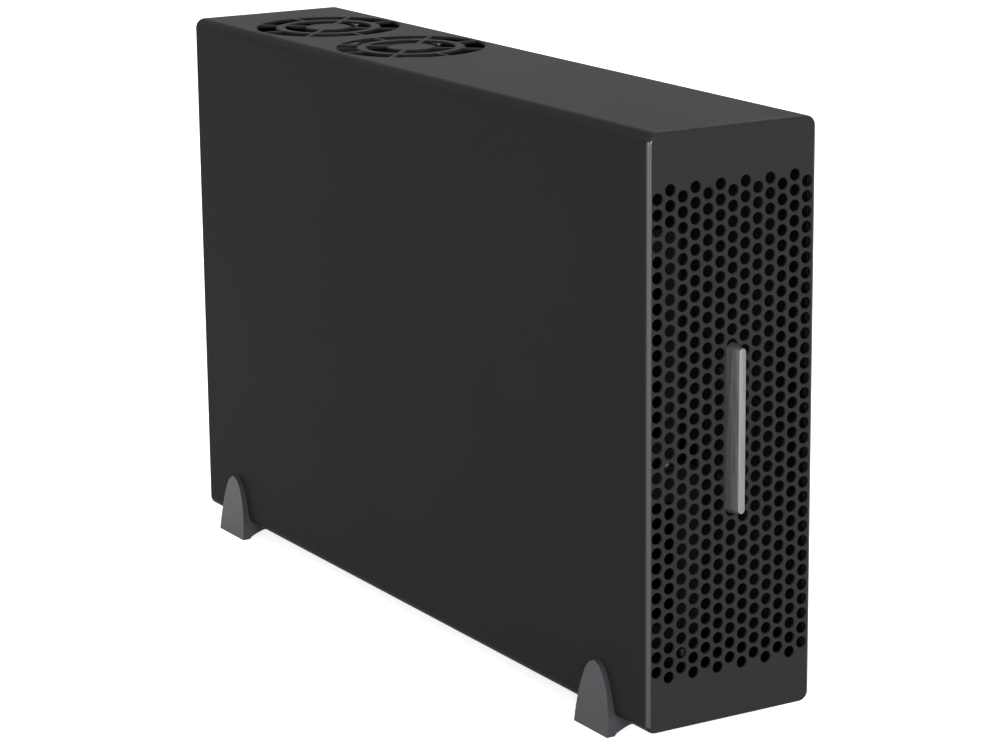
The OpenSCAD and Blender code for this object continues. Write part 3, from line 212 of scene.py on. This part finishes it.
def copied(obj, matrix):
    twin = obj.copy()
    twin.data = obj.data.copy()
    scene.collection.objects.link(twin)
    twin.data.transform(matrix)
    return twin


def copyOfNode(name, node):
    # a node's triangles are merged and its flat faces made whole again
    mesh = nodes[node].data.copy()
    obj = bpy.data.objects.new(name, mesh)
    scene.collection.objects.link(obj)
    onlySelected(obj)
    bpy.ops.object.mode_set(mode="EDIT")
    bpy.ops.mesh.select_all(action="SELECT")
    bpy.ops.mesh.remove_doubles(threshold=0.000005)
    bpy.ops.mesh.dissolve_limited(angle_limit=math.radians(0.5))
    bpy.ops.object.mode_set(mode="OBJECT")
    return obj


# materials


def blankMaterial(name, base, roughness, metallic):
    mat = bpy.data.materials.new(name)
    mat.use_nodes = True
    tree = mat.node_tree
    shader = tree.nodes["Principled BSDF"]
    shader.inputs["Base Color"].default_value = (*base, 1)
    shader.inputs["Roughness"].default_value = roughness
    shader.inputs["Metallic"].default_value = metallic
    coords = tree.nodes.new("ShaderNodeTexCoord").outputs["Object"]
    return mat, tree, shader, coords


def stretched(tree, coords, stretch):
    mapping = tree.nodes.new("ShaderNodeMapping")
    mapping.inputs["Scale"].default_value = stretch
    tree.links.new(coords, mapping.inputs["Vector"])
    return mapping.outputs["Vector"]


def noiseNode(tree, coords, scale, detail):
    noise = tree.nodes.new("ShaderNodeTexNoise")
    noise.inputs["Scale"].default_value = scale
    noise.inputs["Detail"].default_value = detail
    tree.links.new(coords, noise.inputs["Vector"])
    return noise.outputs["Fac"]


def cellNode(tree, coords, scale, output):
    cells = tree.nodes.new("ShaderNodeTexVoronoi")
    cells.inputs["Scale"].default_value = scale
    tree.links.new(coords, cells.inputs["Vector"])
    return cells.outputs[output]


def varyColour(tree, shader, factor, base, spread, start=0.3, end=0.7):
    # the colour wanders between a darker and a lighter shade of its base
    ramp = tree.nodes.new("ShaderNodeValToRGB")
    low, high = ramp.color_ramp.elements
    low.position, high.position = start, end
    low.color = (*(max(0.0, c * (1 - spread)) for c in base), 1)
    high.color = (*(c * (1 + spread) for c in base), 1)
    tree.links.new(factor, ramp.inputs["Fac"])
    tree.links.new(ramp.outputs["Color"], shader.inputs["Base Color"])


def varyRoughness(tree, shader, factor, low, high, start=0.3, end=0.7):
    span = tree.nodes.new("ShaderNodeMapRange")
    span.inputs["From Min"].default_value = start
    span.inputs["From Max"].default_value = end
    span.inputs["To Min"].default_value = low
    span.inputs["To Max"].default_value = high
    tree.links.new(factor, span.inputs["Value"])
    tree.links.new(span.outputs["Result"], shader.inputs["Roughness"])


def bumpFrom(tree, shader, factor, depth, strength, before=None):
    bump = tree.nodes.new("ShaderNodeBump")
    bump.inputs["Distance"].default_value = depth
    bump.inputs["Strength"].default_value = strength
    tree.links.new(factor, bump.inputs["Height"])
    if before:
        tree.links.new(before, bump.inputs["Normal"])
    tree.links.new(bump.outputs["Normal"], shader.inputs["Normal"])
    return bump.outputs["Normal"]


def coatedMetal(name, base, roughness, gloss):
    # powder coat: fine orange peel, faint cloudiness in tone and gloss
    mat, tree, shader, coords = blankMaterial(name, base, roughness, 0.0)
    clouds = noiseNode(tree, coords, scale=9, detail=3)
    haze = noiseNode(tree, coords, scale=28, detail=4)
    peel = noiseNode(tree, coords, scale=450, detail=2)
    grain = noiseNode(tree, coords, scale=1500, detail=1)
    varyColour(tree, shader, clouds, base, spread=0.03)
    varyRoughness(tree, shader, haze, roughness - 0.012, roughness + 0.012)
    coarse = bumpFrom(tree, shader, peel, depth=0.06 * mm, strength=0.5)
    bumpFrom(tree, shader, grain, depth=0.03 * mm, strength=0.6, before=coarse)
    shader.inputs["Specular IOR Level"].default_value = gloss
    return mat


def mouldedPlastic(name, base, roughness, gloss=0.25):
    mat, tree, shader, coords = blankMaterial(name, base, roughness, 0.0)
    clouds = noiseNode(tree, coords, scale=60, detail=3)
    haze = noiseNode(tree, coords, scale=120, detail=3)
    grain = noiseNode(tree, coords, scale=2600, detail=1)
    varyColour(tree, shader, clouds, base, spread=0.06)
    varyRoughness(tree, shader, haze, roughness - 0.05, roughness + 0.05)
    bumpFrom(tree, shader, grain, depth=0.02 * mm, strength=0.5)
    shader.inputs["Specular IOR Level"].default_value = gloss
    return mat


def platedSheet(name, base, roughness):
    # zinc plating: crystal patches over a faint rolling grain
    mat, tree, shader, coords = blankMaterial(name, base, roughness, 1.0)
    spangle = cellNode(tree, coords, 90, "Color")
    grain = noiseNode(tree, stretched(tree, coords, (1, 0.06, 1)), scale=900, detail=2)
    varyColour(tree, shader, spangle, base, 0.1, start=0.0, end=1.0)
    varyRoughness(tree, shader, spangle, roughness - 0.06, roughness + 0.08, start=0.0, end=1.0)
    bumpFrom(tree, shader, grain, depth=0.01 * mm, strength=0.4)
    return mat


def brushedMetal(name, base, roughness, along=(1, 1, 0.03), grain=1400):
    mat, tree, shader, coords = blankMaterial(name, base, roughness, 1.0)
    streaks = noiseNode(tree, stretched(tree, coords, along), grain, detail=3)
    varyColour(tree, shader, streaks, base, spread=0.08)
    varyRoughness(tree, shader, streaks, roughness - 0.06, roughness + 0.08)
    bumpFrom(tree, shader, streaks, depth=0.015 * mm, strength=0.5)
    return mat


def circuitBoard(name, base, copper):
    # solder mask with faint tracks and small plated pads
    mat, tree, shader, coords = blankMaterial(name, base, 0.32, 0.0)
    tracks = tree.nodes.new("ShaderNodeTexBrick")
    tracks.inputs["Scale"].default_value = 260
    tracks.inputs["Mortar Size"].default_value = 0.012
    for socket, lift in (("Color1", 1), ("Color2", 1.18), ("Mortar", 1.7)):
        tracks.inputs[socket].default_value = (*(c * lift for c in base), 1)
    tree.links.new(coords, tracks.inputs["Vector"])
    dots = tree.nodes.new("ShaderNodeMath")
    dots.operation = "LESS_THAN"
    dots.inputs[1].default_value = 0.14
    tree.links.new(cellNode(tree, coords, 150, "Distance"), dots.inputs[0])
    # a mix node's colours are its inputs 6 and 7 and its output 2
    mix = tree.nodes.new("ShaderNodeMix")
    mix.data_type = "RGBA"
    tree.links.new(dots.outputs[0], mix.inputs["Factor"])
    tree.links.new(tracks.outputs["Color"], mix.inputs[6])
    mix.inputs[7].default_value = (*copper, 1)
    tree.links.new(mix.outputs[2], shader.inputs["Base Color"])
    tree.links.new(dots.outputs[0], shader.inputs["Metallic"])
    bumpFrom(tree, shader, tracks.outputs["Fac"], depth=0.02 * mm, strength=0.5)
    return mat


def windings(name, base, pitch, along=(0, 0, 1), metallic=1.0, roughness=0.3):
    # rings of wire, or the ribs of a flat cable
    mat, tree, shader, coords = blankMaterial(name, base, roughness, metallic)
    wave = tree.nodes.new("ShaderNodeTexWave")
    wave.bands_direction = "DIAGONAL"
    wave.inputs["Scale"].default_value = 0.314 / pitch
    tree.links.new(stretched(tree, coords, along), wave.inputs["Vector"])
    varyColour(tree, shader, wave.outputs["Fac"], base, 0.35, start=0.0, end=0.6)
    bumpFrom(tree, shader, wave.outputs["Fac"], depth=pitch * 0.4, strength=0.8)
    return mat


def lensPlastic(name, base):
    mat, tree, shader, coords = blankMaterial(name, base, 0.12, 0.0)
    varyColour(tree, shader, noiseNode(tree, coords, scale=400, detail=2), base, spread=0.15)
    shader.inputs["Emission Color"].default_value = (*base, 1)
    shader.inputs["Emission Strength"].default_value = 0.15
    return mat


finishes = {
    "darkPaint": coatedMetal("darkPaint", (0.0190, 0.0190, 0.0190), 0.37, 0.007),
    "frontPaint": coatedMetal("frontPaint", (0.0188, 0.0197, 0.0192), 0.36, 0.014),
    # a lighter, glossier paint for the front panel's upright fillets: a painted highlight
    "edgePaint": coatedMetal("edgePaint", (0.024, 0.0245, 0.0242), 0.36, 0.36),
    # near-black paint for the inner chassis parts seen through the front holes stands in for the
    # shade inside the case: painted shade
    "innerPaint": coatedMetal("innerPaint", (0.006, 0.006, 0.006), 0.5, 0.05),
    "footPlastic": mouldedPlastic("footPlastic", (0.0290, 0.0279, 0.0325), 0.34, 0.22),
    "satinAluminium": brushedMetal("satinAluminium", (0.17, 0.17, 0.175), 0.42),
    "zincSheet": platedSheet("zincSheet", (0.36, 0.365, 0.37), 0.36),
    "brightSteel": brushedMetal("brightSteel", (0.5, 0.505, 0.51), 0.26),
    "screwSteel": brushedMetal("screwSteel", (0.45, 0.45, 0.46), 0.3, (1, 1, 1), 900),
    "blackPlastic": mouldedPlastic("blackPlastic", (0.012, 0.012, 0.013), 0.4),
    "boardGreen": circuitBoard("boardGreen", (0.008, 0.075, 0.032), (0.7, 0.5, 0.2)),
    "brass": brushedMetal("brass", (0.62, 0.43, 0.16), 0.28, (1, 1, 1), 900),
    "copperCoil": windings("copperCoil", (0.62, 0.27, 0.09), 0.5 * mm),
    "sinkAluminium": brushedMetal("sinkAluminium", (0.55, 0.55, 0.57), 0.38, (1, 0.03, 1)),
    "cableJacket": mouldedPlastic("cableJacket", (0.010, 0.010, 0.011), 0.55),
    "ribbonGrey": windings("ribbonGrey", (0.28, 0.28, 0.27), 1.27 * mm, (0, 1, 0), 0.0, 0.5),
    "headerCream": mouldedPlastic("headerCream", (0.55, 0.52, 0.40), 0.4),
    "boardTan": circuitBoard("boardTan", (0.26, 0.17, 0.07), (0.6, 0.6, 0.6)),
    "lightGreen": lensPlastic("lightGreen", (0.15, 0.6, 0.22)),
}
print("materials made:", len(finishes))


def slotWord(name):
    # dark_paint in the record is darkPaint here
    first, *rest = name.split("_")
    return first + "".join(word.capitalize() for word in rest)


def dress(obj, finish):
    obj.data.materials.clear()
    obj.data.materials.append(finishes[finish])


for part in frame["record"]["subparts"]:
    dress(nodes[part["node"]], slotWord(part["material_slot"]))


def finishPiece(obj, body, finish, replaced):
    dress(obj, finish)
    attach(obj, body)
    if replaced:
        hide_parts(*replaced)


# the sleeve of the case: reach and past are how far its cutting tools stand out

caseSleeve = {
    "radius": 5.0,
    "wall": 1.2,
    "lipWidth": 4.0,
    "mouthCorner": 3.8,
    "ear": (14.0, 11.0),
    "earCorner": 2.0,
    "screwHole": 1.65,
    "edge": 0.15,
    "joint": 0.01,
    "slotRings": [(27.5, 37.5, 8, 0.0), (12.0, 22.5, 4, 45.0)],
    "slotEdge": 0.3,
    "flareShort": 0.01,
    "spoke": 3.0,
    "spokePast": 2.0,
    "fansBehindRear": (68.0, 156.5),
    "past": 5.0,
    "reach": 3.0,
}


def ringTool(y, z0, z1, ring, grow):
    # one ring of slots, each grown by the same width on all sides
    inner, outer, spokes, turn = ring
    tool = rod("ring", (0, y, z0), (0, y, z1), (outer + grow) * mm, 128)
    cutAway(tool, rod("core", (0, y, z0 - mm), (0, y, z1 + mm), (inner - grow) * mm, 96))
    half = (caseSleeve["spoke"] / 2 - grow) * mm
    far = (outer + caseSleeve["spokePast"]) * mm
    for k in range(spokes):
        bar = block("bar", (0, -half, z0 - mm), (far, half, z1 + mm))
        turned = Matrix.Rotation(math.radians(turn + k * 360 / spokes), 4, "Z")
        bar.data.transform(Matrix.Translation((0, y, 0)) @ turned)
        cutAway(tool, bar)
    return tool


def makeCaseSleeve():
    c = caseSleeve
    lo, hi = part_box("outer_case")
    lo.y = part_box("front_bezel")[1].y + c["joint"] * mm
    shell = block("caseSleeve", lo, hi)
    bevelEdges(shell, c["radius"] * mm, 12, alongDepth)
    bevelEdges(shell, c["edge"] * mm, 2, aroundEnd(hi.y))
    wall, past, reach = c["wall"] * mm, c["past"] * mm, c["reach"] * mm
    inside = block(
        "inside",
        (lo.x + wall, lo.y - past, lo.z + wall),
        (hi.x - wall, hi.y - wall, hi.z - wall),
    )
    bevelEdges(inside, (c["radius"] - c["wall"]) * mm, 12, alongDepth)
    cutAway(shell, inside)
    # the mouth in the rear leaves a lip and an ear for each thumbscrew
    rim = wall + c["lipWidth"] * mm
    mouth = block(
        "mouth",
        (lo.x + rim, hi.y - past, lo.z + rim),
        (hi.x - rim, hi.y + past, hi.z - rim),
    )
    bevelEdges(mouth, c["mouthCorner"] * mm, 8, alongDepth)
    halfWidth, halfHeight = (v / 2 * mm for v in c["ear"])
    screws = []
    for node in ("thumbscrew_top", "thumbscrew_bottom"):
        a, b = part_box(node)
        screws.append((a + b) / 2)
    for p in screws:
        bottom, top = lo.z - mm, p.z + halfHeight
        if p.z > (lo.z + hi.z) / 2:
            bottom, top = p.z - halfHeight, hi.z + mm
        ear = block(
            "ear",
            (p.x - halfWidth, hi.y - past - mm, bottom),
            (p.x + halfWidth, hi.y + past + mm, top),
        )
        bevelEdges(ear, c["earCorner"] * mm, 4, alongDepth)
        cutAway(mouth, ear)
    cutAway(shell, mouth)
    for p in screws:
        inner, outer = (p.x, hi.y - reach, p.z), (p.x, hi.y + reach, p.z)
        cutAway(shell, rod("hole", inner, outer, c["screwHole"] * mm, 32))
    # the fan grilles, with each slot's upper rim flared
    edge = c["slotEdge"] * mm
    low, wider = hi.z - edge, 2 * c["slotEdge"] - c["flareShort"]
    for behind in c["fansBehindRear"]:
        y = hi.y - behind * mm
        for ring in c["slotRings"]:
            cutAway(shell, ringTool(y, hi.z - reach, hi.z + reach, ring, 0))
            flare = ringTool(y, low, hi.z + edge, ring, wider)
            bevelEdges(flare, 2 * edge, 3, lambda p, d: abs(p.z - low) < touch and abs(d.z) < 0.01)
            cutAway(shell, flare)
    flatShaded(shell)
    finishPiece(shell, "case", "darkPaint", ["outer_case"])
    return shell


sleeve = makeCaseSleeve()
print("case sleeve made:", len(sleeve.data.polygons), "faces")


# the perforated front panel: a pocket behind the field of holes leaves a web of this thickness

frontPanel = {
    "cornerRadius": 5.0,
    "edgeRadius": 2.0,
    "hole": 5.5,
    "pitchX": 6.6,
    "pitchZ": 6.9,
    "columns": 6,
    "rows": 33,
    "countersink": 0.2,
    "sides": 24,
    "web": 1.2,
    "pocketMargin": (0.2, 0.6),
    "pocketCorner": 1.0,
    "past": 2.0,
}


def holeTool(x, z, frontY, backY):
    c = frontPanel
    depth, radius = c["countersink"] * mm, c["hole"] / 2
    back = (x, backY + c["past"] * mm, z)
    tool = rod("hole", back, (x, frontY + depth, z), radius * mm, c["sides"])
    onlySelected(tool)
    bpy.ops.object.mode_set(mode="EDIT")
    bpy.ops.mesh.select_all(action="DESELECT")
    mesh = bmesh.from_edit_mesh(tool.data)
    mesh.faces.ensure_lookup_table()
    for face in mesh.faces:
        if face.normal.y < -0.9:
            face.select = True
    bmesh.update_edit_mesh(tool.data)
    grown = (radius + 2 * c["countersink"]) / radius
    bpy.ops.mesh.extrude_region_move(TRANSFORM_OT_translate={"value": (0, -2 * depth, 0)})
    bpy.ops.transform.resize(value=(grown, 1, grown), center_override=(x, frontY - depth, z))
    bpy.ops.object.mode_set(mode="OBJECT")
    return tool


def repeated(obj, count, step):
    addModifier(
        obj,
        "ARRAY",
        count=count,
        use_relative_offset=False,
        use_constant_offset=True,
        constant_offset_displace=step,
    )


def makeFrontPanel():
    c = frontPanel
    lo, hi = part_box("front_bezel")
    panel = block("frontPanel", lo, hi)
    bevelEdges(panel, c["cornerRadius"] * mm, 12, alongDepth)
    bevelEdges(panel, c["edgeRadius"] * mm, 8, aroundEnd(lo.y))
    middle = (lo.z + hi.z) / 2
    aside, above = c["pocketMargin"]
    halfX = (c["columns"] * c["pitchX"] + c["hole"] / 2 + aside) * mm
    halfZ = ((c["rows"] - 1) / 2 * c["pitchZ"] + c["hole"] / 2 + above) * mm
    pocket = block(
        "pocket",
        (-halfX, lo.y + c["web"] * mm, middle - halfZ),
        (halfX, hi.y + mm, middle + halfZ),
    )
    bevelEdges(pocket, c["pocketCorner"] * mm, 3, alongDepth)
    cutAway(panel, pocket)
    # odd columns hold one hole more than even ones
    px, pz = c["pitchX"] * mm, c["pitchZ"] * mm
    for odd in (0, 1):
        columns = [k for k in range(-c["columns"], c["columns"] + 1) if k % 2 == odd]
        rows = c["rows"] - 1 + odd
        tool = holeTool(columns[0] * px, middle - (rows - 1) / 2 * pz, lo.y, hi.y)
        repeated(tool, rows, (0, 0, pz))
        repeated(tool, len(columns), (2 * px, 0, 0))
        cutAway(panel, tool)
    flatShaded(panel)
    finishPiece(panel, "chassis", "frontPaint", ["front_bezel"])
    # the upright fillet faces get a lighter, glossier paint that stands in for the highlight along
    # them: a painted highlight
    panel.data.materials.append(finishes["edgePaint"])
    flatUpTo = hi.x - c["edgeRadius"] * mm
    for face in panel.data.polygons:
        out = face.normal
        slanting = abs(out.x) > 0.1 and out.y < -0.1 and abs(out.z) < 0.2
        if slanting and abs(face.center.x) > flatUpTo:
            face.material_index = 1
    return panel


panel = makeFrontPanel()
print("front panel made:", len(panel.data.polygons), "faces")


# the plain bar on the front

trimBar = {"crown": 3.4, "edge": 0.4, "pegRadius": 2.0, "pegApart": 24.15}


def makeTrimBar():
    lo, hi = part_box("trim_bar")
    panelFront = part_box("front_bezel")[0].y
    bar = block("trimBar", lo, (hi.x, panelFront, hi.z))
    half = (hi.x - lo.x) / 2
    bevelEdges(bar, half * 0.999, 10, alongDepth)
    # the flanks lean in to a narrow flat crown
    crown, middle = trimBar["crown"] / 2 * mm, (lo.z + hi.z) / 2
    straight = (hi.z - lo.z) / 2 - half
    for v in bar.data.vertices:
        if v.co.y < lo.y + touch:
            v.co.x *= crown / half
            over = abs(v.co.z - middle) - straight
            if over > 0:
                v.co.z = middle + math.copysign(straight + over * crown / half, v.co.z - middle)
    bevelEdges(bar, trimBar["edge"] * mm, 3, aroundEnd(lo.y))
    parts = [bar]
    for side in (-1, 1):
        z = middle + side * trimBar["pegApart"] * mm
        foot, end = (0, panelFront - mm, z), (0, hi.y, z)
        parts.append(rod("peg", foot, end, trimBar["pegRadius"] * mm, 32))
    bar = joined("trimBar", parts)
    smoothed(bar)
    finishPiece(bar, "chassis", "satinAluminium", ["trim_bar"])


makeTrimBar()
print("trim bar made")


# the moulded feet

feet = {"edge": 1.2, "segments": 4, "softOver": 50}


def makeFoot(node):
    foot = copyOfNode(slotWord(node), node)
    addModifier(
        foot,
        "BEVEL",
        width=feet["edge"] * mm,
        segments=feet["segments"],
        limit_method="ANGLE",
        angle_limit=math.radians(feet["softOver"]),
        use_clamp_overlap=True,
        miter_outer="MITER_ARC",
    )
    flatShaded(foot)
    finishPiece(foot, "case", "footPlastic", [node])


for corner in ("foot_front_left", "foot_front_right", "foot_rear_left", "foot_rear_right"):
    makeFoot(corner)
print("feet made")


# the fans' rotors: the cup begins this far above the shaft's foot, and chord is at root and tip

topRotor = {
    "hub": 17.0,
    "foot": 2.5,
    "cupWall": 1.5,
    "tip": 37.0,
    "shaft": 1.5,
    "blades": 7,
    "rootPitch": 46.0,
    "tipPitch": 30.0,
    "chord": (14.0, 25.0),
    "sweep": 9.0,
    "thickness": 1.2,
    "hubEdge": 1.2,
}
smallRotor = {
    "hub": 8.0,
    "foot": 2.5,
    "cupWall": 1.5,
    "tip": 16.5,
    "shaft": 0.706,
    "blades": 5,
    "rootPitch": 48.0,
    "tipPitch": 34.0,
    "chord": (9.0, 11.0),
    "sweep": 3.0,
    "thickness": 1.0,
    "hubEdge": 0.8,
}
bladeForm = {
    "grid": (10, 8),
    "sunkInHub": 0.6,
    "shortOfTip": 0.3,
    "camber": 0.07,
    "clearOfEnds": 0.8,
    "edge": 0.3,
    "softOver": 50,
}


def makeBlade(c, height):
    f = bladeForm
    nothingSelected()
    across, lengthwise = f["grid"]
    bpy.ops.mesh.primitive_grid_add(x_subdivisions=across, y_subdivisions=lengthwise, size=2)
    blade = bpy.context.object
    hub, tip = c["hub"] - f["sunkInHub"], c["tip"] - f["shortOfTip"]
    limit = height / 2 - f["clearOfEnds"]
    for v in blade.data.vertices:
        out, along = (v.co.x + 1) / 2, v.co.y
        radius = hub + (tip - hub) * out
        chord = c["chord"][0] + (c["chord"][1] - c["chord"][0]) * out
        pitch = math.radians(c["rootPitch"] + (c["tipPitch"] - c["rootPitch"]) * out)
        camber = f["camber"] * chord * (1 - along * along)
        side = along * chord / 2 * math.cos(pitch) - camber * math.sin(pitch)
        rise = along * chord / 2 * math.sin(pitch) + camber * math.cos(pitch)
        rise = max(-limit, min(limit, rise))
        angle = (side + c["sweep"] * out * out) / radius
        v.co = (radius * math.cos(angle) * mm, radius * math.sin(angle) * mm, rise * mm)
    addModifier(blade, "SOLIDIFY", thickness=c["thickness"] * mm, offset=0)
    addModifier(
        blade,
        "BEVEL",
        width=f["edge"] * mm,
        segments=2,
        limit_method="ANGLE",
        angle_limit=math.radians(f["softOver"]),
    )
    return blade


def makeRotor(name, node, body, c, axis):
    # built upright on its own axis, then set in its fan
    lo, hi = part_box(node)
    centre = (lo + hi) / 2
    along = abs(axis.dot(hi - lo)) / mm
    top, hub, wall = along / 2 * mm, c["hub"] * mm, c["cupWall"] * mm
    cup = rod("cup", (0, 0, c["foot"] * mm - top), (0, 0, top), hub, 64)
    rim = hub * 0.9
    bevelEdges(
        cup,
        c["hubEdge"] * mm,
        3,
        lambda p, d: abs(p.z - top) < touch and math.hypot(p.x, p.y) > rim,
    )
    cutAway(cup, rod("bore", (0, 0, -2 * top), (0, 0, top - wall), hub - wall, 64))
    shaft = rod("shaft", (0, 0, -top), (0, 0, top - wall / 2), c["shaft"] * mm, 24)
    blade = makeBlade(c, along - c["foot"])
    blade.data.transform(Matrix.Translation((0, 0, c["foot"] / 2 * mm)))
    parts = [cup, shaft, blade]
    for k in range(1, c["blades"]):
        parts.append(copied(blade, Matrix.Rotation(math.tau * k / c["blades"], 4, "Z")))
    rotor = joined(name, parts)
    turn = Vector((0, 0, 1)).rotation_difference(axis).to_matrix().to_4x4()
    rotor.data.transform(turn)
    rotor.data.transform(Matrix.Translation(centre))
    smoothed(rotor, 35)
    finishPiece(rotor, body, "blackPlastic", [node])


upright, toRear = Vector((0, 0, 1)), Vector((0, 1, 0))
makeRotor("fanRotorFront", "fan_rotor_front", "fan_front", topRotor, upright)
makeRotor("fanRotorRear", "fan_rotor_rear", "fan_rear", topRotor, upright)
makeRotor("supplyFanRotor", "psu_rotor", "psu_fan", smallRotor, toRear)
print("rotors made")


# the thumbscrews: each groove takes four of the knob's facets

thumbscrew = {
    "radius": 5.5,
    "length": 8.0,
    "grooves": 24,
    "facets": 4,
    "groove": 0.45,
    "edge": 0.5,
    "slit": (20.0, 1.2, 1.2),
    "shank": 1.6,
}


def makeThumbscrew(name, node, body):
    c = thumbscrew
    lo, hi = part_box(node)
    x, z = (lo.x + hi.x) / 2, (lo.z + hi.z) / 2
    face = hi.y - c["length"] * mm
    sides = c["grooves"] * c["facets"]
    knob = rod("knob", (x, face, z), (x, hi.y, z), c["radius"] * mm, sides)
    for v in knob.data.vertices:
        out = Vector((v.co.x - x, 0, v.co.z - z))
        step = round(math.atan2(out.z, out.x) / math.tau * sides)
        if step % c["facets"] == 0:
            v.co -= out.normalized() * c["groove"] * mm
    front, rear = aroundEnd(face), aroundEnd(hi.y)
    bevelEdges(knob, c["edge"] * mm, 2, lambda p, d: front(p, d) or rear(p, d))
    halfLength, depth, halfWidth = (c["slit"][0] / 2 * mm, c["slit"][1] * mm, c["slit"][2] / 2 * mm)
    slit = block(
        "slit",
        (x - halfLength, hi.y - depth, z - halfWidth),
        (x + halfLength, hi.y + mm, z + halfWidth),
    )
    cutAway(knob, slit)
    shank = rod("shank", (x, lo.y, z), (x, face + mm, z), c["shank"] * mm, 32)
    screw = joined(name, [knob, shank])
    smoothed(screw, 25)
    finishPiece(screw, body, "screwSteel", [node])


makeThumbscrew("thumbscrewTop", "thumbscrew_top", "screw_top")
makeThumbscrew("thumbscrewBottom", "thumbscrew_bottom", "screw_bottom")
print("thumbscrews made")


# floor, lamps and background

studio = {
    "world": 0.39,
    "floorSize": 30.0,
    "floorColour": 0.8,
    "floorGlow": 0.82,
    "aimHeight": 0.144,
    "lamps": [
        # name, azimuth, elevation, distance, side, watts, only in reflections
        ("keyLamp", -6, 9, 2.4, 0.7, 57, False),
        ("sideLamp", -70, 8, 2.4, 0.6, 13, False),
        ("edgeLamp", -59, 6, 2.4, 0.4, 42, True),
        ("topLamp", 30, 78, 2.2, 1.8, 20.5, False),
        ("rearLamp", 115, 35, 2.6, 1.2, 20, False),
        ("farLamp", 215, 30, 2.6, 1.2, 16, False),
    ],
}


def addLamp(name, azimuth, elevation, distance, side, watts, reflected):
    data = bpy.data.lights.new(name, "AREA")
    data.shape, data.size, data.energy = "SQUARE", side, watts
    lamp = bpy.data.objects.new(name, data)
    scene.collection.objects.link(lamp)
    out = outward(math.radians(azimuth), math.radians(elevation))
    lamp.location = Vector((0, 0, studio["aimHeight"])) + out * distance
    lamp.rotation_euler = out.to_track_quat("Z", "Y").to_euler()
    lamp.visible_diffuse = not reflected


def seenDirectly(tree):
    # one where the camera, a reflection or clear plastic looks at the surface
    path = tree.nodes.new("ShaderNodeLightPath")
    factor = path.outputs["Is Camera Ray"]
    for kind in ("Is Glossy Ray", "Is Transmission Ray"):
        either = tree.nodes.new("ShaderNodeMath")
        either.operation = "MAXIMUM"
        tree.links.new(factor, either.inputs[0])
        tree.links.new(path.outputs[kind], either.inputs[1])
        factor = either.outputs[0]
    return factor


def makeFloor():
    nothingSelected()
    bpy.ops.mesh.primitive_plane_add(size=studio["floorSize"])
    floor = bpy.context.object
    floor.name = "floor"
    grey = studio["floorColour"]
    mat, tree, shader, coords = blankMaterial("paleFloor", (grey, grey, grey), 0.9, 0.0)
    shader.inputs["Specular IOR Level"].default_value = 0.1
    glow = tree.nodes.new("ShaderNodeEmission")
    glow.inputs["Strength"].default_value = studio["floorGlow"]
    both = tree.nodes.new("ShaderNodeAddShader")
    mix = tree.nodes.new("ShaderNodeMixShader")
    tree.links.new(shader.outputs["BSDF"], both.inputs[0])
    tree.links.new(glow.outputs["Emission"], both.inputs[1])
    tree.links.new(seenDirectly(tree), mix.inputs[0])
    tree.links.new(shader.outputs["BSDF"], mix.inputs[1])
    tree.links.new(both.outputs["Shader"], mix.inputs[2])
    tree.links.new(mix.outputs["Shader"], tree.nodes["Material Output"].inputs["Surface"])
    floor.data.materials.append(mat)


def makeWorld():
    world = bpy.data.worlds.new("studio")
    scene.world = world
    world.use_nodes = True
    tree = world.node_tree
    light = tree.nodes["Background"]
    light.inputs["Color"].default_value = (1, 1, 1, 1)
    light.inputs["Strength"].default_value = studio["world"]
    white = tree.nodes.new("ShaderNodeBackground")
    white.inputs["Color"].default_value = (1, 1, 1, 1)
    mix = tree.nodes.new("ShaderNodeMixShader")
    tree.links.new(seenDirectly(tree), mix.inputs[0])
    tree.links.new(light.outputs["Background"], mix.inputs[1])
    tree.links.new(white.outputs["Background"], mix.inputs[2])
    tree.links.new(mix.outputs["Shader"], tree.nodes["World Output"].inputs["Surface"])


makeFloor()
makeWorld()
for lamp in studio["lamps"]:
    addLamp(*lamp)
scene.view_settings.view_transform = "Standard"
print("studio made")
